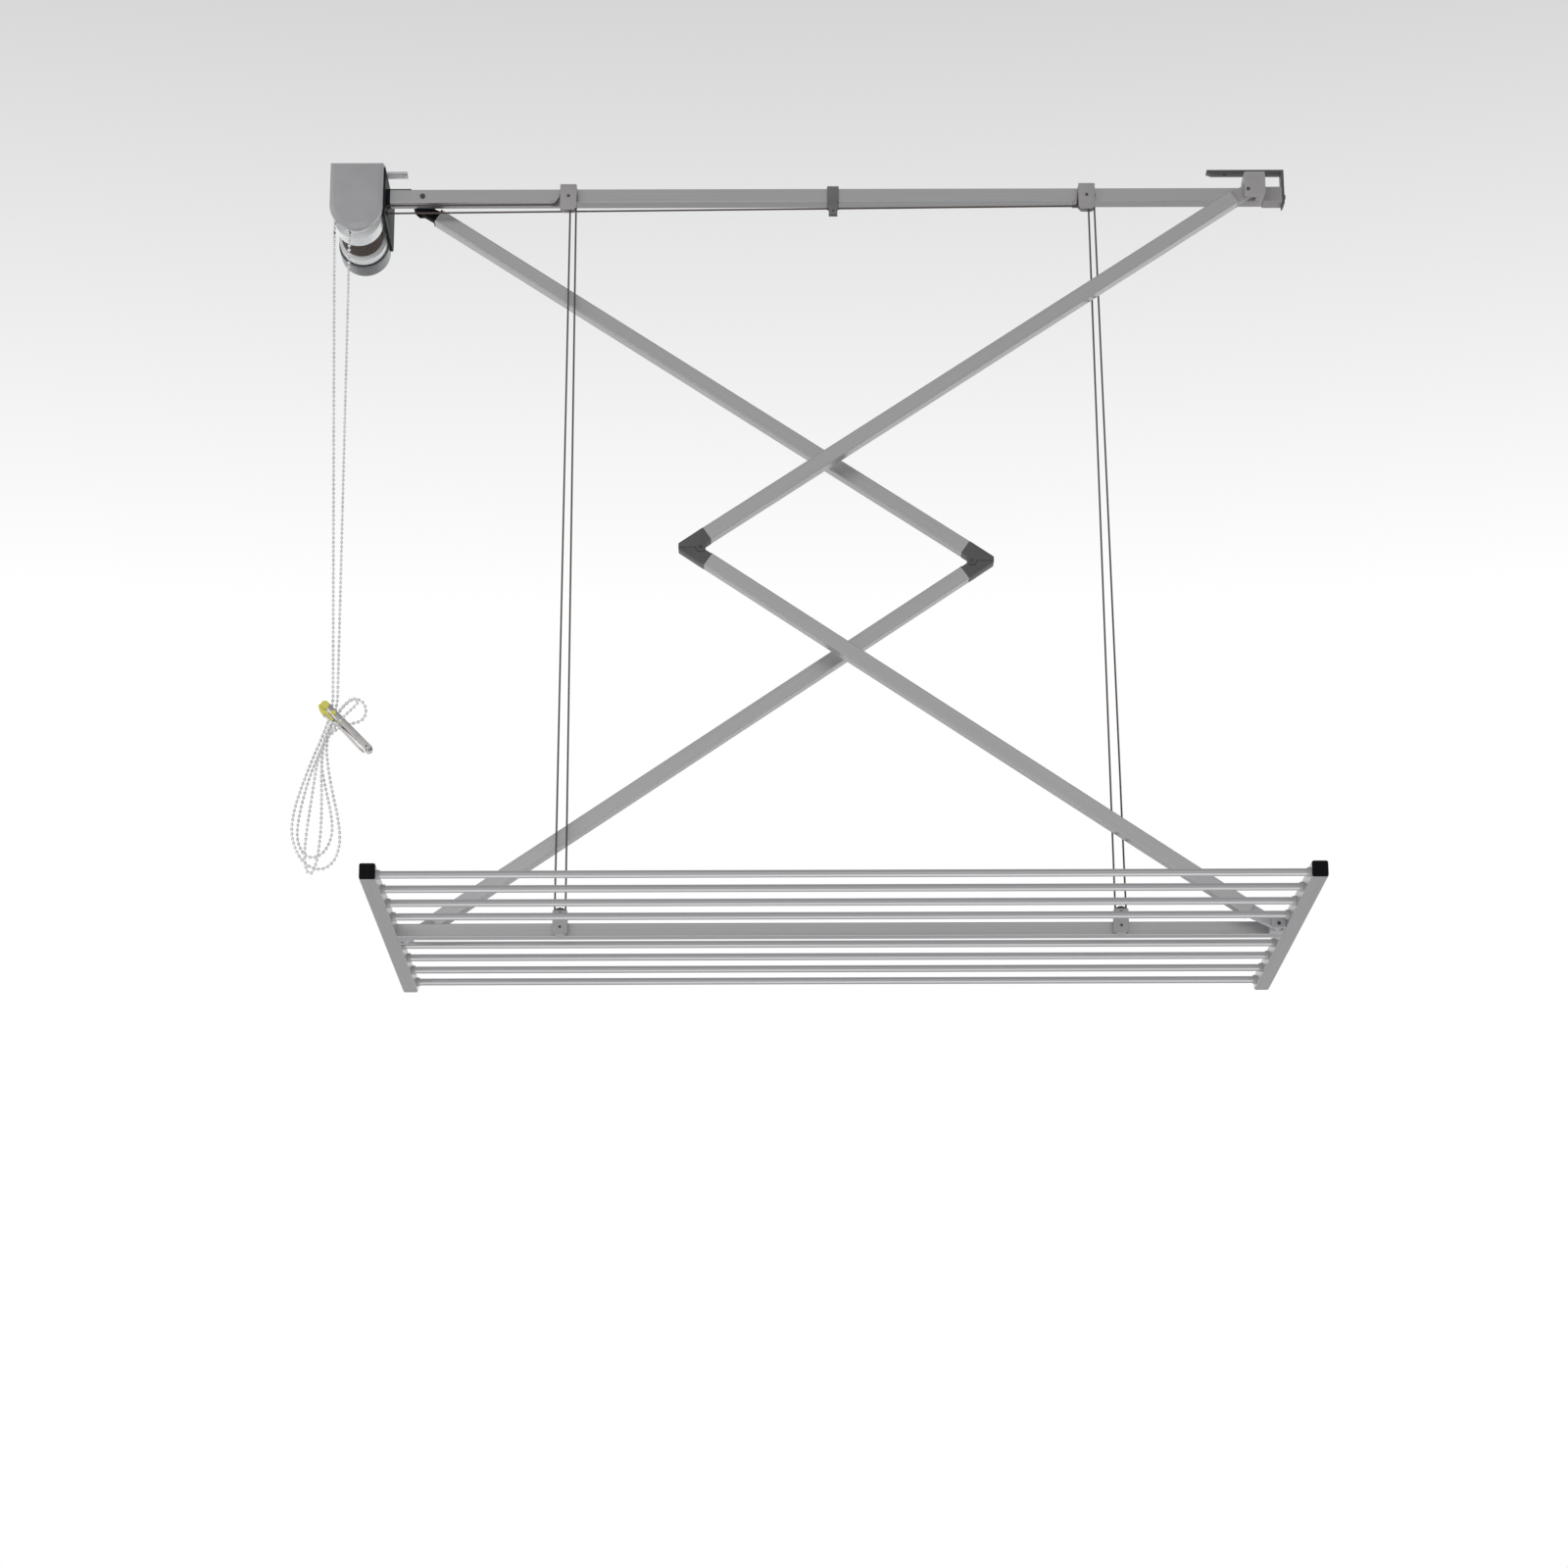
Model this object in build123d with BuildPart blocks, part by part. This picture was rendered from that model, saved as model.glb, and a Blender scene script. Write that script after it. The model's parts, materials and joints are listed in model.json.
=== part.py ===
from build123d import *
import math
import os

# Ceiling mounted pulley rack, in millimetres.
# Origin: on the ceiling plane, midway between the two outer ceiling holes.
# +X runs along the ceiling rail, away from the winch; -Y faces the user; +Z is up.

# ---------------------------------------------------------------- driving sizes
# Ceiling rail
rail_size = 20.0
rail_wall = 1.5
rail_gap = 28.0            # ceiling to the rail's top
rail_left = -616.0
rail_right = 610.0

# Hanging rack
rack_length = 1200.0
rack_width = 600.0
rack_tube = 20.0
tube_wall = 1.5
tube_round = 1.2           # corner radius of every square tube
rack_bottom = -1098.0
bar_r = 4.8
bar_wall = 1.0
bar_pitch = 69.0
bar_inner_y = 74.5         # middle line to the innermost bar
bars_per_side = 4
bush_r = 6.2
bush_len = 4.0
beam_size = 18.0
cap_plate = 3.0
cap_plug = 9.0

# Guide arms: two equal links per arm, folding at the elbow
pivot_x = 571.0            # ceiling pivot and rack pivot stand on one vertical line
pivot_top_z = -46.0
pivot_foot_z = -1092.0
elbow_x = -183.0
arm_y = -34.0              # middle plane of the front arms
rear_arm_y = 21.0          # middle plane of the rear arms
arm_tube = 20.0
upper_off_elbow = 11.5     # tube axis above the pin line, at the elbow
upper_off_top = 2.5
lower_off_elbow = -8.5
lower_off_foot = -4.2
elbow_reach = 18.0         # elbow pin to tube end
top_reach = 24.0           # ceiling pivot to tube end
foot_reach = 42.0          # rack pivot to tube end
plug_len = 24.0
eye_t = 12.0
arm_pin_r = 2.5

# Lift cords and pulleys
cord_r = 1.25
cord_y = -16.0             # plane of the pulleys
upper_left_x = -368.0
upper_right_x = 350.0
upper_z = -43.0
upper_pitch_r = 10.5
upper_rim_r = 12.5
lower_rise = 10.0          # beam top to the lower pulley's axis
lower_pitch_r = 7.1
lower_rim_r = 8.7
lower_left_x = -366.5
lower_right_x = 368.0
anchor_gap = 8.0           # leading fall to the anchored end, at the rail
sheave_w = 6.0
short_cord_z = -54.0
long_cord_z = -58.0
anchor_z = -59.5
fall_top = -62.0
deflect_r = 3.5            # bend radius of the cord at a deflector peg
plate_t = 1.5
axle_r = 2.0

# Winch
drum_x = -660.0
drum_z = -70.0
d_centre_z = -71.5         # centre of the rear housing's round end
cover_centre_z = -62.0     # centre of the front cover's round end
cover_r = 36.5
cover_front = -42.0
cover_depth = 14.0
shell = 2.5
cheek_t = 2.5
cheek_front = -32.0
housing_r = 35.0
drum_r = 33.0
core_r = 22.0
winding_r = 29.0
axle_main_r = 4.9
rear_front = 78.0
rear_back = 108.0
base_t = 3.0
side_plate_x = -621.5
tooth_module = 1.5
gear_teeth = 36
pinion_teeth = 12
gear_slack = 0.3           # added to the centre distance
chain_wheel_dx = -19.5
chain_r = 2.25
chain_pitch_r = 10.5
chain_y = -24.5

# Chain clip and hank
clip_jaw = (-684.0, -784.0)
clip_tail = (-622.0, -848.0)
clip_w = 13.0
clip_h = 13.0
clip_sheet = 0.9
strand_end_z = -783.0
strand_end_x = (-671.5, -665.5)
hank_top = (-675.0, -819.0)

# Holes and clearances
mount_hole_r = 2.75
outer_hole_x = 602.0
inner_hole_x = 545.0
slide_fit = 0.1            # pins and axles in their bores
fit = 0.2                  # plugs and spigots in tubes
gap = 0.5                  # moving faces side by side

# ---------------------------------------------------------------- derived sizes
rail_z = -rail_gap - rail_size / 2
rail_bottom = rail_z - rail_size / 2
rail_front = -rail_size / 2
tube_z = rack_bottom + rack_tube / 2
side_x = rack_length / 2 - rack_tube / 2
side_inner = rack_length / 2 - rack_tube
beam_z = rack_bottom + beam_size / 2
beam_top = rack_bottom + beam_size
beam_front = -beam_size / 2
elbow_z = (pivot_top_z + pivot_foot_z) / 2
elbow_tip = 1.5 * arm_tube      # elbow pin to the blunt tip
link = math.hypot(pivot_x - elbow_x, pivot_top_z - elbow_z)
rest_angle = math.degrees(math.asin((pivot_top_z - elbow_z) / link))
lower_z = beam_top + lower_rise
rear_shift = rear_arm_y + arm_y
chain_wheel_x = drum_x + chain_wheel_dx
centres = tooth_module * (gear_teeth + pinion_teeth) / 2 + gear_slack
chain_wheel_z = drum_z + math.sqrt(centres ** 2 - chain_wheel_dx ** 2)
bar_ys = [bar_inner_y + bar_pitch * k for k in range(bars_per_side)]

os.makedirs("parts", exist_ok=True)


def keep(sub_part, label):
    """Name a finished sub-part and write its STEP file."""
    sub_part.part.label = label
    export_step(sub_part.part, f"parts/{label}.step")


def along_x(x, y, z):
    """Plane whose normal is +X: local x is Y and local y is Z."""
    return Plane(origin=(x, y, z), x_dir=(0, 1, 0), z_dir=(1, 0, 0))


def along_y(x, y, z):
    """Plane whose normal is +Y: local x is -X and local y is Z."""
    return Plane(origin=(x, y, z), x_dir=(-1, 0, 0), z_dir=(0, 1, 0))


def facing(x, y, z):
    """Plane that faces the user (-Y): local x is X and local y is Z."""
    return Plane(origin=(x, y, z), x_dir=(1, 0, 0), z_dir=(0, -1, 0))


def square_tube(plane, length, size, wall):
    """Square tube with rounded corners, extruded from the plane along its normal."""
    with BuildPart() as tube:
        with BuildSketch(plane):
            RectangleRounded(size, size, tube_round)
            Rectangle(size - 2 * wall, size - 2 * wall, mode=Mode.SUBTRACT)
        extrude(amount=length)
    return tube


def half_turn(sub_part, shift=0.0):
    """The same piece turned half a turn about the vertical, then shifted along Y."""
    with BuildPart() as turned:
        add(Pos(0, shift, 0) * Rot(0, 0, 180) * sub_part.part)
    return turned


def rod(plane, radius, length, head_r=0.0, head_t=0.0):
    """Round pin from the plane along its normal, with an optional head behind the plane."""
    with BuildPart() as pin:
        with BuildSketch(plane):
            Circle(radius)
        extrude(amount=length)
        if head_r > 0:
            with BuildSketch(plane):
                Circle(head_r)
            extrude(amount=-head_t)
    return pin


# ---------------------------------------------------------------- ceiling rail
ceiling_rail = square_tube(along_x(rail_left, 0, rail_z), rail_right - rail_left, rail_size, rail_wall)
bolt_x = pivot_x
bolt_r = 2.5
with BuildPart() as ceiling_rail_drilled:
    add(ceiling_rail.part)
    with Locations((bolt_x, 0, rail_z), (-bolt_x, 0, rail_z)):
        Cylinder(bolt_r + slide_fit, rail_size + 2, rotation=(90, 0, 0), mode=Mode.SUBTRACT)
keep(ceiling_rail_drilled, "ceiling_rail")

end_cap_t = 1.5
end_cap_len = 14.0
with BuildPart() as rail_end_cap:
    with BuildSketch(along_x(rail_right - end_cap_len, 0, rail_z)):
        RectangleRounded(rail_size + 2 * end_cap_t + fit, rail_size + 2 * end_cap_t + fit, 2.5)
    extrude(amount=end_cap_len + 12.0)
    with BuildSketch(along_x(rail_right - end_cap_len, 0, rail_z)):
        Rectangle(rail_size + fit, rail_size + fit)
    extrude(amount=end_cap_len, mode=Mode.SUBTRACT)
    with BuildSketch(along_x(rail_right, 0, rail_z)):
        Circle(1.6)
    extrude(amount=12.0, mode=Mode.SUBTRACT)
keep(rail_end_cap, "rail_end_cap")
cap_end = rail_right + 12.0

# Right ceiling bracket: a flange on the ceiling and a web past the rail's end
bracket_t = 3.0
bracket_w = 18.0
web_t = 4.0
web_bottom = -54.0
flange_left = 519.0
with BuildPart() as right_ceiling_bracket:
    with BuildSketch(facing(0, bracket_w / 2, 0)):
        with BuildLine():
            Polyline((flange_left, 0), (cap_end + web_t, 0), (cap_end + web_t, web_bottom + 4),
                     (cap_end + web_t - 2, web_bottom), (cap_end, web_bottom), (cap_end, -bracket_t),
                     (flange_left + 8, -bracket_t), close=True)
        make_face()
    extrude(amount=bracket_w)
    with Locations((outer_hole_x, 0, -bracket_t / 2), (inner_hole_x, 0, -bracket_t / 2)):
        Cylinder(mount_hole_r, bracket_t + 2, mode=Mode.SUBTRACT)
    with Locations((cap_end + web_t / 2, 0, rail_z)):
        Cylinder(2.0 + slide_fit, web_t + 2, rotation=(0, 90, 0), mode=Mode.SUBTRACT)
keep(right_ceiling_bracket, "right_ceiling_bracket")

# ---------------------------------------------------------------- winch
cheek_back = cheek_front + cheek_t
cover_back = cover_front + cover_depth
short_fairlead = (-7.5, -51.0)      # Y and Z where each cord passes the side plate
long_fairlead = (0.0, -59.5)
window_front = 5.0
window_back = 11.0
window_h = 15.0
side_bottom = -72.0
side_screw_at = (-20.0, -62.0)
spigot = rail_size - 2 * rail_wall - 2 * fit
saddle_end = -588.0
tab_end = -594.0
tab_reach = 18.0            # rear tab behind the housing


def d_outline(radius, top, centre_z):
    """D outline in a user-facing plane: straight sides up to the top, round at the bottom."""
    Circle(radius)
    with Locations((0, (top - centre_z) / 2)):
        Rectangle(2 * radius, top - centre_z)


with BuildPart() as winch_ceiling_plate:
    with Locations(((-696.0 + side_plate_x) / 2, (cheek_back + rear_back) / 2, -base_t / 2)):
        Box(side_plate_x + 696.0, rear_back - cheek_back, base_t)
    with Locations(((side_plate_x + tab_end) / 2, 0, -base_t / 2)):
        Box(tab_end - side_plate_x + 2, bracket_w, base_t)
    with Locations((drum_x, rear_back + tab_reach / 2 - 1, -base_t / 2)):
        Box(bracket_w, tab_reach + 2, base_t)
    with Locations((-outer_hole_x, 0, -base_t / 2), (drum_x, rear_back + tab_reach / 2, -base_t / 2)):
        Cylinder(mount_hole_r, base_t + 2, mode=Mode.SUBTRACT)
keep(winch_ceiling_plate, "winch_ceiling_plate")

# Side plate: it carries the rail's end on a boss and a spigot, and lets both cords through
window_y = (short_fairlead[0] - window_front + long_fairlead[0] + window_back) / 2
window_z = (short_fairlead[1] + long_fairlead[1]) / 2
spigot_len = 16.0
with BuildPart() as winch_side_plate:
    with Locations((side_plate_x - base_t / 2, (cover_back + rear_back) / 2, (side_bottom - base_t) / 2)):
        Box(base_t, rear_back - cover_back, -base_t - side_bottom)
    edges_low = winch_side_plate.edges().filter_by(Axis.X).group_by(Axis.Z)[0]
    fillet(edges_low, 12)
    with Locations((side_plate_x - base_t / 2, window_y, window_z)):
        Box(base_t + 1.6, long_fairlead[0] - short_fairlead[0] + window_front + window_back, window_h,
            mode=Mode.SUBTRACT)
    with Locations((side_plate_x - base_t / 2, side_screw_at[0], side_screw_at[1])):
        Cylinder(1.6, base_t + 2, rotation=(0, 90, 0), mode=Mode.SUBTRACT)
    with Locations(((side_plate_x + rail_left) / 2, 0, rail_z)):
        Box(rail_left - side_plate_x, rail_size, rail_size)
    with Locations((rail_left + spigot_len / 2 - 0.5, 0, rail_z)):
        Box(spigot_len + 1, spigot, spigot)
    with Locations(((side_plate_x + saddle_end) / 2, 0, -rail_gap + 0.75)):
        Box(saddle_end - side_plate_x + 2, bracket_w, 1.5)
keep(winch_side_plate, "winch_side_plate")

with BuildPart() as winch_front_cover:
    with BuildSketch(facing(drum_x, cover_back, cover_centre_z)):
        d_outline(cover_r, 0, cover_centre_z)
    extrude(amount=cover_depth)
    front_rim = winch_front_cover.faces().sort_by(Axis.Y)[0].edges()
    chamfer(front_rim, 6.0)
    with BuildSketch(facing(drum_x, cover_back, cover_centre_z)):
        d_outline(cover_r - shell, -shell, cover_centre_z)
    extrude(amount=cover_back - cheek_front + 3.5, mode=Mode.SUBTRACT)
    with Locations((drum_x, (cheek_back + cover_back) / 2 + 0.5, -base_t / 2)):
        Box(2 * cover_r + 2, cover_back - cheek_back + 1, base_t + 0.4, mode=Mode.SUBTRACT)
keep(winch_front_cover, "winch_front_cover")

strand_x = (chain_wheel_x - chain_pitch_r, chain_wheel_x + chain_pitch_r)
with BuildPart() as winch_cheek:
    with BuildSketch(facing(drum_x, cheek_back, cover_centre_z)):
        d_outline(cover_r - shell - gap, -shell - 0.1, cover_centre_z)
    extrude(amount=cheek_t)
    with Locations((drum_x, cheek_front + cheek_t / 2, drum_z)):
        Cylinder(axle_main_r, cheek_t + 2, rotation=(90, 0, 0), mode=Mode.SUBTRACT)
    with Locations((chain_wheel_x, cheek_front + cheek_t / 2, chain_wheel_z)):
        Cylinder(2.5, cheek_t + 2, rotation=(90, 0, 0), mode=Mode.SUBTRACT)
keep(winch_cheek, "winch_cheek")

with BuildPart() as winch_rear_housing:
    with BuildSketch(facing(drum_x, rear_back, d_centre_z)):
        d_outline(housing_r, -base_t, d_centre_z)
    extrude(amount=rear_back - rear_front)
    rear_rim = winch_rear_housing.faces().sort_by(Axis.Y)[-1].edges().filter_by(GeomType.CIRCLE)
    fillet(rear_rim, 3)
    with BuildSketch(facing(drum_x, rear_back - shell, d_centre_z)):
        d_outline(housing_r - shell, -base_t - shell, d_centre_z)
    extrude(amount=rear_back - rear_front, mode=Mode.SUBTRACT)
    with BuildSketch(facing(drum_x, rear_back - 1.0, drum_z)):
        Circle(9)
    extrude(amount=9)
    with BuildSketch(facing(drum_x, rear_back - shell, drum_z)):
        Circle(axle_main_r)
    extrude(amount=20, mode=Mode.SUBTRACT)
keep(winch_rear_housing, "winch_rear_housing")

main_axle = rod(along_y(drum_x, cheek_front + 0.2, drum_z), axle_main_r, rear_back - shell - cheek_front - 0.4)
wheel_axle = rod(along_y(chain_wheel_x, cheek_front + 0.2, chain_wheel_z), 2.5, 20.0)
with BuildPart() as winch_axles:
    add(main_axle.part)
    add(wheel_axle.part)
keep(winch_axles, "winch_axles")

# Wrap spring on the drum's axle: close coils of round wire
spring_wire = 1.3
spring_turns = 6
spring_start = rear_front + 3.0
with BuildPart() as brake_spring:
    with BuildSketch(Plane(origin=(drum_x, 0, drum_z), x_dir=(0, 1, 0), z_dir=(1, 0, 0))):
        for turn in range(spring_turns):
            with Locations((spring_start + spring_wire + turn * 1.9 * spring_wire, axle_main_r + spring_wire + 0.2)):
                Circle(spring_wire)
    revolve(axis=Axis((drum_x, 0, drum_z), (0, 1, 0)))
keep(brake_spring, "brake_spring")


def gear_blank(plane, teeth, turn, thick):
    """Straight-flanked spur gear drawn tooth by tooth in the plane."""
    pitch_r = tooth_module * teeth / 2
    root_r = pitch_r - 1.25 * tooth_module
    tip_r = pitch_r + 0.95 * tooth_module
    with BuildPart() as gear:
        with BuildSketch(plane):
            Circle(root_r)
            for tooth in range(teeth):
                with Locations(Rot(0, 0, turn + 360 * tooth / teeth)):
                    with BuildLine():
                        Polyline((root_r - 0.4, -0.95 * tooth_module), (pitch_r, -0.66 * tooth_module),
                                 (tip_r, -0.32 * tooth_module), (tip_r, 0.32 * tooth_module),
                                 (pitch_r, 0.66 * tooth_module), (root_r - 0.4, 0.95 * tooth_module), close=True)
                    make_face()
        extrude(amount=thick)
    return gear


# Drum: gear rim, barrel, core between its flanges
gear_front = -19.5
gear_t = 6.5
mesh_angle = math.degrees(math.atan2(chain_wheel_z - drum_z, chain_wheel_dx))
drum_profile = [(gear_front, 20.0), (-12.5, 20.0), (-12.5, drum_r), (12.0, drum_r), (12.0, 25.0), (15.5, 25.0),
                (15.5, core_r), (58.5, core_r), (58.5, 25.0), (62.0, 25.0), (62.0, drum_r), (75.5, drum_r),
                (75.5, axle_main_r + slide_fit), (gear_front, axle_main_r + slide_fit)]
drum_gear = gear_blank(facing(drum_x, gear_front + gear_t, drum_z), gear_teeth, mesh_angle, gear_t)
with BuildPart() as drum:
    with BuildSketch(Plane(origin=(drum_x, 0, drum_z), x_dir=(0, 1, 0), z_dir=(1, 0, 0))):
        with BuildLine():
            Polyline(*drum_profile, close=True)
        make_face()
    revolve(axis=Axis((drum_x, 0, drum_z), (0, 1, 0)))
    add(drum_gear.part)
    with BuildSketch(facing(drum_x, 80, drum_z)):
        Circle(axle_main_r + slide_fit)
    extrude(amount=110, mode=Mode.SUBTRACT)
keep(drum, "drum")

with BuildPart() as cord_windings:
    with BuildSketch(facing(drum_x, 58.0, drum_z)):
        Circle(winding_r)
        Circle(core_r, mode=Mode.SUBTRACT)
    extrude(amount=42.0)
keep(cord_windings, "cord_windings")

# Chain wheel: two flanges, a waist for the beads, and the pinion behind
pinion_turn = mesh_angle + 180 + 180 / pinion_teeth
pinion = gear_blank(facing(chain_wheel_x, gear_front + gear_t, chain_wheel_z), pinion_teeth, pinion_turn, gear_t)
waist_r = chain_pitch_r - chain_r - 0.35
flange_r = 13.2
flange_t = 1.4
wheel_front = chain_y - chain_r - 0.4 - flange_t
wheel_back = chain_y + chain_r + 0.4 + flange_t
wheel_profile = [(wheel_front, 2.0), (wheel_front, flange_r), (wheel_front + flange_t, flange_r),
                 (wheel_front + flange_t, waist_r), (wheel_back - flange_t, waist_r),
                 (wheel_back - flange_t, flange_r), (wheel_back, flange_r), (wheel_back, 6.0),
                 (gear_front + 0.5, 6.0), (gear_front + 0.5, 2.0)]
with BuildPart() as chain_wheel:
    with BuildSketch(Plane(origin=(chain_wheel_x, 0, chain_wheel_z), x_dir=(0, 1, 0), z_dir=(1, 0, 0))):
        with BuildLine():
            Polyline(*wheel_profile, close=True)
        make_face()
    revolve(axis=Axis((chain_wheel_x, 0, chain_wheel_z), (0, 1, 0)))
    add(pinion.part)
    with BuildSketch(facing(chain_wheel_x, 0, chain_wheel_z)):
        Circle(2.5 + slide_fit)
    extrude(amount=40, mode=Mode.SUBTRACT)
keep(chain_wheel, "chain_wheel")

# ---------------------------------------------------------------- pulleys and cords
wheel_gap = 1.0
screw_r = 1.8
front_plate_y = cord_y - sheave_w / 2 - wheel_gap - plate_t


def sheave(x, z, rim_r, pitch_r):
    """Grooved pulley wheel on an axis along Y."""
    half = sheave_w / 2
    groove = cord_r + 0.35
    with BuildPart() as wheel:
        with BuildSketch(Plane(origin=(x, cord_y, z), x_dir=(0, 1, 0), z_dir=(1, 0, 0))):
            with BuildLine():
                Polyline((-half, axle_r + slide_fit), (-half, rim_r), (half, rim_r), (half, axle_r + slide_fit),
                         close=True)
            make_face()
            with Locations((0, pitch_r)):
                Circle(groove, mode=Mode.SUBTRACT)
            with Locations((0, pitch_r + rim_r / 2)):
                Rectangle(2 * groove, rim_r, mode=Mode.SUBTRACT)
        revolve(axis=Axis((x, cord_y, z), (0, 1, 0)))
    return wheel


def pulley_bracket(x, axle_z, top, bottom, half_w, back_y, screw_z=None):
    """Two cheek plates joined by a web at the end away from the cord, with axle and screw holes."""
    depth = back_y - front_plate_y
    web_z = bottom + plate_t / 2 if screw_z else top - plate_t / 2
    with BuildPart() as bracket:
        for plate_back in (back_y, front_plate_y + plate_t):
            with BuildSketch(facing(x, plate_back, 0)):
                with BuildLine():
                    Polyline((-half_w, bottom + 4), (-half_w, top - 1), (-half_w + 1, top), (half_w - 1, top),
                             (half_w, top - 1), (half_w, bottom + 4), (half_w - 4, bottom),
                             (4 - half_w, bottom), close=True)
                make_face()
            extrude(amount=plate_t)
        with Locations((x, back_y - depth / 2, web_z)):
            Box(2 * half_w - 8, depth, plate_t)
        with Locations((x, back_y - depth / 2, axle_z)):
            Cylinder(axle_r, depth + 2, rotation=(90, 0, 0), mode=Mode.SUBTRACT)
        if screw_z:
            with Locations((x, back_y - depth / 2, screw_z)):
                Cylinder(screw_r, depth + 2, rotation=(90, 0, 0), mode=Mode.SUBTRACT)
    return bracket


upper_top = -25.5
upper_bottom = -64.0
upper_half_w = 11.5
peg_r = deflect_r - cord_r - 0.05
climb = {"left": 60.0, "right": 80.0}      # how steeply the cord leaves each deflector
rail_pulleys = {"left": (upper_left_x, short_cord_z), "right": (upper_right_x, long_cord_z)}
deflect_corner = {}
axle_len = rail_front - front_plate_y + 0.8

for side, (x, run_z) in rail_pulleys.items():
    lean = math.radians(climb[side])
    touch = (x - upper_pitch_r * math.sin(lean), upper_z + upper_pitch_r * math.cos(lean))
    corner_x = touch[0] - (touch[1] - run_z) / math.tan(lean)
    deflect_corner[side] = corner_x
    peg_x = corner_x - deflect_r * math.tan(lean / 2)
    peg_z = run_z + deflect_r
    plain = pulley_bracket(x, upper_z, upper_top, upper_bottom, upper_half_w, rail_front)
    with BuildPart() as upper_bracket:
        add(plain.part)
        with BuildSketch(facing(0, rail_front, 0)):
            with BuildLine():
                Polyline((x - 6, peg_z + 5), (peg_x - 4, peg_z + 5), (peg_x - 4, peg_z - 4), (x - 6, peg_z - 4),
                         close=True)
            make_face()
        extrude(amount=plate_t)
        with BuildSketch(facing(peg_x, rail_front, peg_z)):
            Circle(peg_r)
        extrude(amount=rail_front - cord_y + cord_r + 1)
    keep(upper_bracket, f"upper_pulley_bracket_{side}")
    wheel = sheave(x, upper_z, upper_rim_r, upper_pitch_r)
    keep(wheel, f"upper_sheave_{side}")

lower_half_w = 9.8
lower_top = lower_z + 4.5
beam_screw_z = rack_bottom + 10.0
lower_pulleys = {"left": lower_left_x, "right": lower_right_x}
for side, x in lower_pulleys.items():
    lower_bracket = pulley_bracket(x, lower_z, lower_top, rack_bottom, lower_half_w, beam_front, beam_screw_z)
    keep(lower_bracket, f"lower_pulley_bracket_{side}")
    wheel = sheave(x, lower_z, lower_rim_r, lower_pitch_r)
    keep(wheel, f"lower_sheave_{side}")

anchor_r = 1.2
ferrule_r = 2.2
ferrule_len = 5.0
# Cord runs: drum, fairlead, deflector, over the pulley, down to the start of the fall
fairleads = {"left": short_fairlead, "right": long_fairlead}
leave_y = {"left": 37.0, "right": 44.0}
leave_r = winding_r + cord_r
with BuildPart() as cord_runs:
    for side, (x, run_z) in rail_pulleys.items():
        hole_y, hole_z = fairleads[side]
        reach = math.hypot(side_plate_x - drum_x, hole_z - drum_z)
        leave = math.atan2(hole_z - drum_z, side_plate_x - drum_x) + math.acos(leave_r / reach)
        start = (drum_x + leave_r * math.cos(leave), leave_y[side], drum_z + leave_r * math.sin(leave))
        lean = math.radians(climb[side])
        rise = upper_pitch_r * math.tan((math.pi / 2 + lean) / 2)
        points = [start, (side_plate_x, hole_y, hole_z), (deflect_corner[side], cord_y, run_z),
                  (x + upper_pitch_r, cord_y, upper_z + rise), (x + upper_pitch_r, cord_y, fall_top)]
        with BuildLine() as route:
            FilletPolyline(*points, radius=[12.0, deflect_r, upper_pitch_r])
        with BuildSketch(Plane(origin=route.line @ 0, z_dir=route.line % 0)):
            Circle(cord_r)
        sweep(path=route.line)
        dead_x = x + upper_pitch_r - anchor_gap
        with Locations((dead_x, cord_y, fall_top + ferrule_len / 2)):
            Cylinder(ferrule_r, ferrule_len)
        with Locations((dead_x, cord_y, anchor_z)):
            Cylinder(anchor_r, 4 * ferrule_r, rotation=(90, 0, 0), mode=Mode.SUBTRACT)
keep(cord_runs, "cord_runs")

with BuildPart() as cord_falls:
    for side, x in lower_pulleys.items():
        lead_x = rail_pulleys[side][0] + upper_pitch_r
        for top_x, low_x in ((lead_x - anchor_gap, x - lower_pitch_r), (lead_x, x + lower_pitch_r)):
            for fall_x, fall_z in ((top_x, fall_top), (low_x, lower_z)):
                with BuildSketch(Plane(origin=(fall_x, cord_y, fall_z))):
                    Circle(cord_r)
            loft()
keep(cord_falls, "cord_falls")

with BuildPart() as lower_cord_wraps:
    for side, x in lower_pulleys.items():
        with BuildSketch(Plane(origin=(x + lower_pitch_r, cord_y, lower_z), x_dir=(1, 0, 0), z_dir=(0, 0, 1))):
            Circle(cord_r)
        revolve(axis=Axis((x, cord_y, lower_z), (0, 1, 0)), revolution_arc=180)
keep(lower_cord_wraps, "lower_cord_wraps")

# Centre guide: a clip round the rail with a roller under the long cord
guide_w = 16.0
guide_x = -1.5
clip_t = 3.0
roller_r = 3.5
guide_cord_y = long_fairlead[0] + (cord_y - long_fairlead[0]) * (guide_x - side_plate_x) / (
    deflect_corner["right"] - side_plate_x)
guide_cord_z = long_cord_z + (long_fairlead[1] - long_cord_z) * (deflect_corner["right"] - guide_x) / (
    deflect_corner["right"] - side_plate_x)
roller_z = guide_cord_z - cord_r - roller_r - 0.1
ear_half = 2.2
with BuildPart() as centre_guide:
    with BuildSketch(along_x(guide_x - guide_w / 2, 0, rail_z)):
        RectangleRounded(rail_size + 2 * clip_t, rail_size + 2 * clip_t, 2)
        Rectangle(rail_size, rail_size, mode=Mode.SUBTRACT)
    extrude(amount=guide_w)
    for ear in (guide_cord_y - ear_half - 1.2, guide_cord_y + ear_half + 1.2):
        with Locations((guide_x, ear, (rail_bottom + roller_z - 5) / 2)):
            Box(guide_w - 4, 2.4, rail_bottom - roller_z + 5)
    with Locations((guide_x, guide_cord_y, roller_z)):
        Cylinder(1.5, 40, rotation=(90, 0, 0), mode=Mode.SUBTRACT)
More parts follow.
